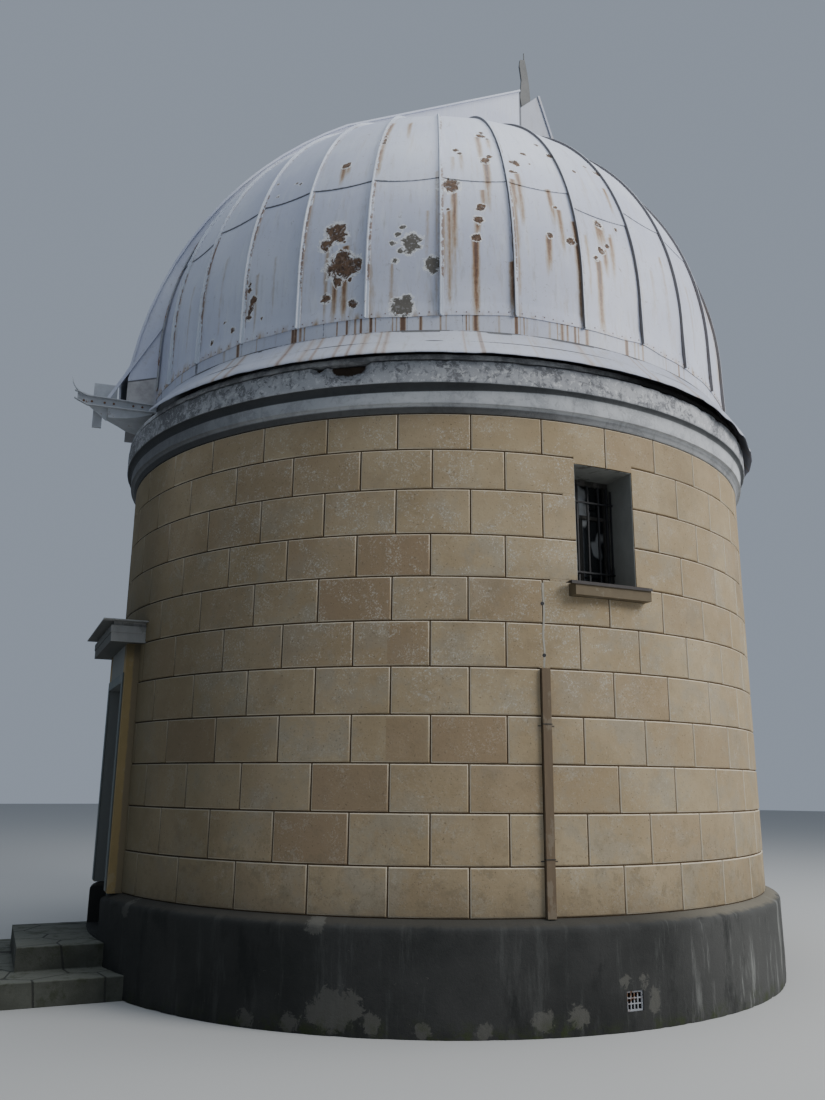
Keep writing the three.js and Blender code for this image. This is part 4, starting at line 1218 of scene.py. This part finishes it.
shape = bmesh.new()
weep, line = stored_on(shape, "weep", "line")
band = [(2.9505, 4.88), *[(2.9545, height) for height in (4.88, 4.915, 4.96, 5.0, 5.06)], (2.9505, 5.06)]
ring(shape, band, SLIT + 11.1, (60, 0.2), (SLIT + 348.9, 2.0))
for vertex in shape.verts:
    bearing = bearing_of(vertex.co)
    if vertex.co.z > 4.99:
        vertex.co.z = foot_at(bearing) + (0.03 if vertex.co.z > 5.05 else -0.013)
    behind = 1.1 * noise.noise(Vector((bearing * 0.8, 0, 9)))
    vertex[weep] = min(1.2, stripes_at(DRUM_RUNS, bearing)) if bearing < 60 else max(0.0, behind)
    # line is painted shadow just under the sheets' foot, plus the drum's dark seams
    under = 1.0 if vertex.co.z > foot_at(bearing) - 0.002 else 0.0
    vertex[line] = max(under, min(0.5, stripes_at(DRUM_DARK, bearing)))
piece(shape, "drum_band", drum_finish, "dome")
print("band in place")

# %% The rain apron
GAP_SHADOWS = [(-41, 3.2, 0.9), (-2, 4.0, 0.9), (9.8, 2.8, 0.9), (21.5, 5.5, 0.85), (46.5, 4.5, 0.85),
          (33, 2, 0.5), (-28, 3, 0.45)]
LAP_DARK = [(-33.5, 3.5, 0.7), (0, 1.2, 0.8), (16.5, 10, 0.75), (40, 6, 0.4), (-14, 6, 0.4)]
APRON_RUNS = [
    (-33.4, 0.5, 0.6), (-31.0, 0.7, 0.6), (-22.0, 0.6, 0.7), (-16.9, 0.35, 0.7), (-13.6, 0.35, 0.75),
    (-11.8, 0.35, 0.75), (-7.8, 0.3, 0.7), (-6.8, 0.5, 0.6), (4.2, 0.25, 0.6), (6.6, 0.35, 1.1),
    (22, 0.9, 0.45), (32.0, 0.3, 0.6), (33.5, 0.3, 0.6), (42.6, 0.7, 0.6), (-18.5, 0.8, 0.45),
    (-10, 0.8, 0.5), (14, 0.3, 0.35), (48, 0.3, 0.4),
]
APRON_LINE = [
    (2.9555, 4.909), (2.9585, 4.901), (2.967, 4.890), (2.98, 4.874), (3.02, 4.822), (3.060, 4.774),
    (3.0665, 4.766), (3.0705, 4.764), (3.0735, 4.759), (3.0775, 4.752), (3.12, 4.705), (3.16, 4.660),
    (3.183, 4.632), (3.1888, 4.616),
]


def add_apron():
    shape = bmesh.new()
    weep, line = stored_on(shape, "weep", "line")
    under = [(radius - 0.004, height - 0.003) for radius, height in reversed(APRON_LINE)]
    ring(shape, APRON_LINE + under, -50, (60, 0.25), (267.4, 1.2))
    for vertex in shape.verts:
        place = vertex.co
        bearing, radius = bearing_of(place), math.hypot(place.x, place.y)
        gap_shade = min(1.0, stripes_at(GAP_SHADOWS, bearing))
        lap = min(1.0, stripes_at(LAP_DARK, bearing))
        # line is painted shadow: in the gap under the upper edge and under the lap's edge
        vertex[line] = 0.0
        if radius < 2.97:
            vertex[line] = 0.45 + 0.55 * gap_shade if radius < 2.96 or gap_shade > 0.5 else 0.2
        elif 3.066 < radius < 3.075:
            vertex[line] = 0.35 + 0.65 * lap
        behind = 1.1 * noise.noise(Vector((bearing * 0.7, 0, 4)))
        vertex[weep] = min(1.1, stripes_at(APRON_RUNS, bearing) if bearing < 58 else max(0.0, behind))
        free = min(1.0, max(0.0, (radius - 3.06) / 0.12))
        wave = noise.noise(Vector((math.radians(bearing) * 9, 1.0, 7.0))) * 0.007
        wave += noise.noise(Vector((math.radians(bearing) * 27, 4.0, 7.0))) * 0.004
        loose = max(0.0, 1 - abs(bearing - 66) / 22) ** 0.7
        hang = loose * 0.075 + 0.02 * math.sin(bearing * 0.9) * loose
        place.z += free * (wave + 0.004) - hang * free**2
        place.x *= 1 - free * 0.0012
        place.y *= 1 - free * 0.0012
    return piece(shape, "rain_apron", apron_finish, "dome", ["dome_apron"], corner=35)


apron = add_apron()
print("apron:", len(apron.data.polygons), "faces")

# %% [markdown]
# ## Mortar under the apron
#
# Under the apron one looks into the dark gap where the dome turns on its rail. A low fillet of
# mortar on the cornice closes most of it. It is the cornice's method again, a profile spun round
# the axis, kept two centimetres clear of the turning drum. Its right part and, from the middle
# rightwards, its top are painted near black: painted shadow under the apron.

# %% The mortar fillet
def kerb_mortar():
    finish = Finish("kerb_mortar", roughness=0.95, specular=0.2)
    mottle = finish.blotch(0.4, 0.6, 9, detail=8, rough=0.74)
    _, _, height = finish.parts()
    bearing = finish.bearing()
    grey = finish.mix(mottle, (0.20, 0.205, 0.215), (0.40, 0.41, 0.425))
    # painted shadow under the apron: near black on the right and along the top
    shadowed = finish.ramp(height, 4.635, 4.648) * finish.ramp(bearing, -30, -10)
    dark = finish.maths("MAXIMUM", shadowed, finish.ramp(bearing, 16, 34))
    finish.paint(finish.mix(dark, grey, (0.02, 0.02, 0.02)))
    finish.relief(mottle, 0.004)
    return finish


kerb = bmesh.new()
KERB_PROFILE = [
    (2.975, 4.6005), (3.0985, 4.6005), (3.0985, 4.628), (3.094, 4.64), (3.062, 4.665), (3.03, 4.69),
    (2.975, 4.69),
]
ring(kerb, KERB_PROFILE, SLIT, (SLIT + 360, 1.0))
weather(kerb, 3.05, 0.003, 5.0, edges=[(4.635, 0.02, 0.012)])
piece(kerb, "mortar_fillet", kerb_mortar())
print("fillet laid")

# %% [markdown]
# ## Windows behind bars
#
# Each window is an old timber sash set deep in the wall, with a grille of square bars in front
# of it. The three are alike, so one function builds the window facing the viewer and turns it
# to its bearing. Glass is a plain dark glossy sheet: with a black room behind it, what one sees
# of old glass is its reflection, so pale patches of mirrored sky are painted into it.

# %% Timber, glass and window fittings
EVENLY = (1, 1, 1)


def weathered(name, colour, scale=20.0, roughness=0.75, stretch=(1, 1, 0.15), worn=(0.30, 0.29, 0.27),
              amount=0.4):
    """Old paint on timber or cement: streaked grain, worn patches and a little dirt."""
    finish = Finish(name, roughness=roughness, specular=0.35)
    grain = finish.grain(scale, detail=6, rough=0.65, place=finish.stretched(*stretch))
    cloud = finish.grain(4.5, detail=6, rough=0.66)
    base = finish.mix(grain, scaled(colour, 0.72), scaled(colour, 1.22))
    bare = finish.ramp(grain * 0.5 + cloud, 0.84, 0.9)
    finish.paint(finish.mix(bare * amount, base, worn))
    finish.relief(grain * 0.6 + bare * 0.4, 0.002, 0.5)
    return finish


sash_finish = weathered("sash_paint", (0.05, 0.047, 0.042), amount=0.2)
reveal_finish = weathered("grey_reveal", (0.225, 0.23, 0.215), scale=9, stretch=(1, 1, 0.6),
                          worn=(0.075, 0.07, 0.058), amount=0.7)
sill_finish = weathered("ochre_sill", (0.135, 0.105, 0.063), scale=12, stretch=EVENLY,
                        worn=(0.22, 0.195, 0.15))
sheet_finish = weathered("dark_drip_sheet", (0.042, 0.035, 0.033), scale=12, stretch=EVENLY,
                         roughness=0.6, amount=0.15)
grille_finish = rusty_iron("black_bars", (0.02, 0.02, 0.022), -0.15, roughness=0.6)
glass_finish = Finish("old_glass", roughness=0.06, specular=0.75)
mirrored = glass_finish.blotch(0.56, 0.60, 4.5, detail=2, rough=0.5, place=glass_finish.stretched(1, 1, 0.5))
glass_finish.paint(glass_finish.mix(mirrored * 0.8, (0.012, 0.014, 0.016), (0.34, 0.35, 0.35)))
ripple = glass_finish.grain(5, detail=2)
glass_finish.relief(ripple, 0.004, 0.25)


def bar(shape, x, y, z, size=0.014):
    """A square bar whose long side is given as a pair; the other two are its middle."""
    def span(value):
        return value if isinstance(value, tuple) else (value - size / 2, value + size / 2)

    return block(shape, span(x), span(y), span(z))


OPEN_HALF = 0.2615


def add_window(name, bearing):
    foot, head, half, wood = 2.9575, 3.8837, OPEN_HALF, 0.045
    depth, pane = (-2.69, -2.64), (-2.668, -2.664)
    sash = bmesh.new()
    pair(sash, half, half - wood, depth, (foot, head))
    for low in (foot, head - wood):
        block(sash, (-half + 0.0452, half - 0.0452), depth, (low, low + wood))
    block(sash, (-0.014, 0.014), (-2.687, -2.645), (foot + 0.046, 3.565))
    block(sash, (-half + 0.0455, half - 0.0455), (-2.688, -2.644), (3.566, 3.594))
    soften(sash, sash.edges[:], 0.003, 1)
    piece_at(bearing, sash, f"sash_{name}", sash_finish, replaces=[f"window_{name}"])
    glass = bmesh.new()
    for x in ((-half + 0.046, -0.0145), (0.0145, half - 0.046)):
        block(glass, x, pane, (foot + 0.046, 3.5655))
    block(glass, (-half + 0.046, half - 0.046), pane, (3.5945, head - 0.046))
    piece_at(bearing, glass, f"glass_{name}", glass_finish)
    grille = bmesh.new()
    for x in (-0.165, -0.067, 0.031, 0.129, 0.207):
        bar(grille, x, -2.735, (3.0, 3.82))
    bar(grille, 0.2485, -2.735, (3.06, 3.80), 0.010)
    for z in (3.12, 3.68):
        bar(grille, (-0.2545, 0.2545), -2.748, z, 0.012)
        stud(grille, Matrix.Translation((0.228, -2.757, z + 0.004)), "Y", 8, 0.012, 0.002, 0.05)
    piece_at(bearing, grille, f"grille_{name}", grille_finish)
    sheet = bmesh.new()
    width = (-0.372, 0.338)
    sill = block(sheet, width, (-3.084, -3.01), (2.9578, 2.9612))
    block(sheet, width, (-3.0848, -3.0832), (2.938, 2.9611))
    divide_long(sheet, sill, 24)
    for vertex in sheet.verts:
        if vertex.co.y < -3.05:
            vertex.co.z += 0.004 + noise.noise(Vector((vertex.co.x * 9, 0.3, bearing))) * 0.004
    piece_at(bearing, sheet, f"drip_sheet_{name}", sheet_finish)


for name, bearing in WINDOWS.items():
    add_window(name, bearing)
    dress(nodes[f"sill_{name}"], sill_finish)
print("three windows")

# %% [markdown]
# ## Entrance
#
# The doorway's surround is a slab of ochre render with a grey casing round the opening and a
# small stepped canopy. Here the solids have the right shape already, so they only take their
# finishes; the casing, the panels on the door and its handle are added as thin pieces.

# %% Doorway, steps and small fittings
portal_finish = weathered("ochre_render", (0.20, 0.145, 0.07), scale=9, stretch=(1, 1, 0.5),
                          worn=(0.22, 0.20, 0.15), roughness=0.9)
casing_finish = weathered("blue_grey_casing", (0.11, 0.13, 0.13), scale=14, worn=(0.2, 0.19, 0.17))
canopy_finish = weathered("canopy_cement", (0.26, 0.26, 0.25), scale=16, stretch=(1, 1, 0.3),
                          worn=(0.11, 0.11, 0.10), amount=0.5)


def door_side(finish):
    """Measures across and out from the doorway's middle, and the height."""
    x, y, height = finish.parts()
    sine, cosine = math.sin(math.radians(DOOR)), math.cos(math.radians(DOOR))
    return x * cosine + y * sine, x * sine - y * cosine, height


across, out, height = door_side(portal_finish)
portal_finish.coat(0.12, (0.66, 0.53, 0.22))
near_wall = portal_finish.ramp(out + portal_finish.grain(14, detail=5) * 0.02, 3.018, 3.004)
portal_finish.coat(near_wall, (0.165, 0.135, 0.084))
# painted shade on the surround's top, under the canopy
portal_finish.coat(portal_finish.ramp(height, 2.48, 2.62) * 0.65, (0.05, 0.045, 0.03))
portal_finish.coat(portal_finish.ramp(portal_finish.size(across), 0.4235, 0.4215), (0.16, 0.17, 0.165))
across, _, height = door_side(canopy_finish)
# painted shadow under the canopy's top sheet
shadowed = canopy_finish.ramp(across, 0.636, 0.63) * canopy_finish.ramp(height, 2.826, 2.82)
canopy_finish.coat(shadowed * 0.85, (0.04, 0.043, 0.036))
door_finish = weathered("door_paint", (0.085, 0.075, 0.06), scale=26)
batten_finish = weathered("brown_cable_cover", (0.145, 0.105, 0.065), scale=22, worn=(0.23, 0.2, 0.15))


def step_concrete():
    finish = Finish("step_concrete", roughness=0.95, specular=0.2)
    cloud = finish.grain(2.6, detail=8, rough=0.66)
    fine = finish.grain(60, detail=6, rough=0.72)
    _, _, height = finish.parts()
    finish.paint(finish.mix(finish.ramp(cloud, 0.3, 0.7), (0.05, 0.053, 0.043), (0.095, 0.098, 0.083)))
    tread = sum(finish.ramp(finish.size(height - level), 0.008, 0.004) for level in (0.17, 0.34))
    finish.coat(tread * 0.6, (0.165, 0.172, 0.148))
    moss = finish.blotch(0.5, 0.64, 8, detail=7, rough=0.7)
    finish.coat(moss * 0.5, (0.03, 0.036, 0.016))
    crack = finish.cracks(2.2, finish.stretched(1, 1, 0.3))
    broken = finish.ramp(crack + fine * 0.02, 0.03, 0.018)
    finish.coat(broken * 0.8, (0.03, 0.03, 0.028))
    finish.relief(cloud * 0.5 + fine * 0.6 - broken * 0.8, 0.008, 0.7)
    return finish


step_finish = step_concrete()
casing = bmesh.new()
depth = (-3.072, -3.0605)
pair(casing, 0.4225, 0.50, depth, (0.701, 2.33))
block(casing, (-0.50, 0.50), depth, (2.3425, 2.42))
pair(casing, 0.4225, 0.50, depth, (2.3302, 2.3422))
soften(casing, casing.edges[:], 0.002, 1)
piece_at(DOOR, casing, "door_casing", casing_finish)

panels = bmesh.new()
for x in ((-0.285, -0.02), (0.02, 0.285)):
    for z in ((0.52, 1.05), (1.2, 1.98)):
        raised = block(panels, x, (-2.9455, -2.9345), z)
        soften(panels, [e for e in edges_of(raised) if all(v.co.y < -2.944 for v in e.verts)], 0.008, 1)
piece_at(DOOR, panels, "door_panels", door_finish, "door")
handle = bmesh.new()
plate = block(handle, (0.29, 0.325), (-2.942, -2.9345), (1.03, 1.22))
soften(handle, edges_of(plate), 0.002, 1)
stud(handle, Matrix.Translation((0.307, -2.965, 1.16)), "X", 16, 0.008, 0.008, 0.05)
stud(handle, Matrix.Translation((0.26, -2.986, 1.16)), "Y", 16, 0.008, 0.006, 0.11, angle=-90)
piece_at(DOOR, handle, "door_handle", iron_finish, "door")
print("entrance dressed")

# %% [markdown]
# ## Vent, cable cover and the slit's iron
#
# Small things tell the eye how big the building is: the bars of the vent, the straps that hold
# the cable cover, the filled chase above it, the bolts along the flap's side beam. They are
# cubes and cones placed by bearing, each a real size.

# %% Small fittings
vent_grille = bmesh.new()
depth = (-3.112, -3.1)
pair(vent_grille, 0.0645, 0.054, depth, (0.1205, 0.2445))
for z in ((0.1205, 0.131), (0.234, 0.2445)):
    block(vent_grille, (-0.0538, 0.0538), depth, z)
for x in (-0.027, 0, 0.027):
    bar(vent_grille, x, -3.105, (0.1312, 0.2338), 0.008)
for z in (0.1655, 0.1995):
    bar(vent_grille, (-0.0536, 0.0536), -3.1065, z, 0.007)
piece_at(VENT, vent_grille, "vent_bars", iron_finish, replaces=["vent_grille"])

clips = bmesh.new()
for z in (1.06, 1.95):
    block(clips, (-0.036, 0.036), (-3.0395, -3.0375), (z, z + 0.005))
    pair(clips, 0.0315, 0.0345, (-3.0373, -3.0083), (z, z + 0.005))
    pair(clips, 0.0348, 0.06, (-3.0113, -3.0085), (z - 0.012, z - 0.007))
piece_at(CABLE, clips, "cable_clips", grille_finish)

chase = bmesh.new()
fill = block(chase, (-0.007, 0.007), (-3.0096, -3.002), (2.342, 2.95))
divide_long(chase, fill, 30)
for vertex in chase.verts:
    vertex.co.x += noise.noise(Vector((0.7, 0.2, vertex.co.z * 7))) * 0.012
chase_finish = weathered("filled_chase", (0.34, 0.32, 0.27), scale=30, stretch=EVENLY, roughness=0.9)
piece_at(CABLE, chase, "filled_chase", chase_finish)
holes = bmesh.new()
for bearing, height in ((CABLE - 0.1, 2.80), (CABLE, 2.43)):
    stud(holes, on_face(bearing, FACE + 0.0018, height), "X", 12, 0.014, 0.012, 0.003)
piece(holes, "cable_holes", grille_finish)

beam_bolts = bmesh.new()
for along in (3.02, 3.1, 3.27, 3.35, 3.46, 3.53):
    stud(beam_bolts, Matrix.Translation((0.5715, -along, 4.878)), "Y", 6, 0.011, 0.009, 0.008)
piece_at(SLIT, beam_bolts, "flap_bolts", nail_finish, "dome", corner=20)


def cheek_paint():
    """The dome's plain paint, with a stained beige panel below the cheek's lowest seam, and painted shade on
    the part behind the notch.
    """
    finish = dome_paint("cheek_paint", marked=False)
    x, y, z = finish.parts()
    out = x * along_slit.x + y * along_slit.y
    seam = 5.11 + (3.18 - out) * (0.078 / 0.273)
    panel = finish.ramp(seam - z, -0.003, 0.003) * finish.ramp(out, 2.85, 2.95)
    cloud = finish.grain(9, detail=7, rough=0.7)
    beige = finish.mix(finish.ramp(cloud, 0.35, 0.65), (0.25, 0.235, 0.22), (0.39, 0.375, 0.36))
    line = finish.ramp(finish.size(seam - z), 0.010, 0.006) * finish.ramp(out, 2.85, 2.95)
    notch = finish.ramp(finish.size(out + 0.84), 0.016, 0.008)
    # painted shade on the hood's part behind the notch
    finish.coat(finish.ramp(out, -0.835, -0.845) * 0.55, (0.235, 0.24, 0.25))
    finish.coat(panel * 0.8, beige)
    finish.coat(finish.maths("MAXIMUM", line, notch) * 0.8, (0.03, 0.03, 0.03))
    return finish


cheek_finish = cheek_paint()
hood_finish = dome_paint("hood_paint", marked=False, dirt=0.9)
flap_finish = rusty_iron("flap_paint", (0.37, 0.385, 0.41), 0.02, roughness=0.6)
arm_finish = rusty_iron("arm_paint", (0.105, 0.105, 0.102), -0.1, roughness=0.7)
rail_finish = rusty_iron("rail_iron", (0.05, 0.05, 0.05), -0.1, roughness=0.7)
floor_finish = weathered("concrete_floor", (0.24, 0.235, 0.22), scale=8, stretch=EVENLY)
dressing = {
    "slit_cheek": cheek_finish, "shutter": trim_finish, "hood_back": hood_finish, "dome_ring": rail_finish,
    "dome_rail": rail_finish, "guide_arm": arm_finish, "flap_": flap_finish, "door_surround": portal_finish,
    "door_canopy": canopy_finish, "door_steps": step_finish,
    "door_frame": casing_finish, "door_leaf": door_finish,
    "cable_cover": batten_finish, "ground_floor": floor_finish, "loft_floor": floor_finish,
}
for name, solid in nodes.items():
    for start, finish in dressing.items():
        if name.startswith(start):
            dress(solid, finish)
print("fittings added")

# %% [markdown]
# ## Reveals
#
# The window openings are lined with grey paint up to the sash. A lining is three thin slabs just
# inside the opening, at both sides and the head, which also hides the raw joint colour of the wall
# behind the blocks.

# %% Line the window openings
depth = (-BACK, -2.6915)
for name, bearing in WINDOWS.items():
    lining = bmesh.new()
    pair(lining, OPEN_HALF, OPEN_HALF - 0.005, depth, (2.9585, 3.8835))
    block(lining, (-OPEN_HALF, OPEN_HALF), depth, (3.8775, 3.8838))
    piece_at(bearing, lining, f"reveal_{name}", reveal_finish)
print("reveals lined")

# %% [markdown]
# ## Camera and light
#
# The camera stands where the picture was taken from: nine and a half metres off, at eye height,
# tilted up. Broad soft lights stand on the right and overhead, as under a bright sky, and a weak
# one on the far right catches the edge, so the round wall turns evenly into shade.

# %% Camera, floor and lights
scene = bpy.context.scene
camera_data = bpy.data.cameras.new("camera")
camera_data.sensor_width = 36
camera_data.lens = 30.68
camera = bpy.data.objects.new("camera", camera_data)
eye = (0, -9.498, 1.551)
pitch, swing, lean = math.radians(13.95), math.radians(1.31), math.radians(0.53)
upwards = Matrix.Rotation(math.radians(90) + pitch, 4, "X")
tilt = Matrix.Rotation(swing, 4, "Z") @ upwards @ Matrix.Rotation(lean, 4, "Z")
camera.matrix_world = Matrix.Translation(eye) @ tilt
scene.collection.objects.link(camera)
scene.camera = camera

studio_finish = Finish("studio_floor", roughness=0.9, specular=0.2)
studio_finish.paint((0.43, 0.43, 0.42))
ground = bmesh.new()
bmesh.ops.create_circle(ground, cap_ends=True, segments=64, radius=60)
bmesh.ops.translate(ground, verts=ground.verts, vec=(0, 0, -0.001))
studio_floor = object_of(ground, "studio_floor", studio_finish)

world = bpy.data.worlds.new("soft_sky")
world.use_nodes = True
world.node_tree.nodes["Background"].inputs["Color"].default_value = (0.72, 0.83, 1.0, 1)
world.node_tree.nodes["Background"].inputs["Strength"].default_value = 0.37
scene.world = world


def soft_light(name, place, target, size, power, colour):
    data = bpy.data.lights.new(name, "AREA")
    data.shape = "DISK"
    data.size = size
    data.energy = power
    data.color = colour
    lamp = bpy.data.objects.new(name, data)
    lamp.location = place
    lamp.rotation_euler = (Vector(target) - Vector(place)).to_track_quat("-Z", "Y").to_euler()
    scene.collection.objects.link(lamp)


soft_light("key", (14.8, -8, 13), (0, 0, 4.5), 9, 2900, (1.0, 0.98, 0.95))
soft_light("rim", (15, 2, 9), (0, 0, 5.5), 7, 420, (0.95, 0.97, 1.0))
soft_light("top", (2.5, -3.5, 20), (0, 0, 5), 12, 1750, (0.9, 0.95, 1.0))
print("camera and lights set")
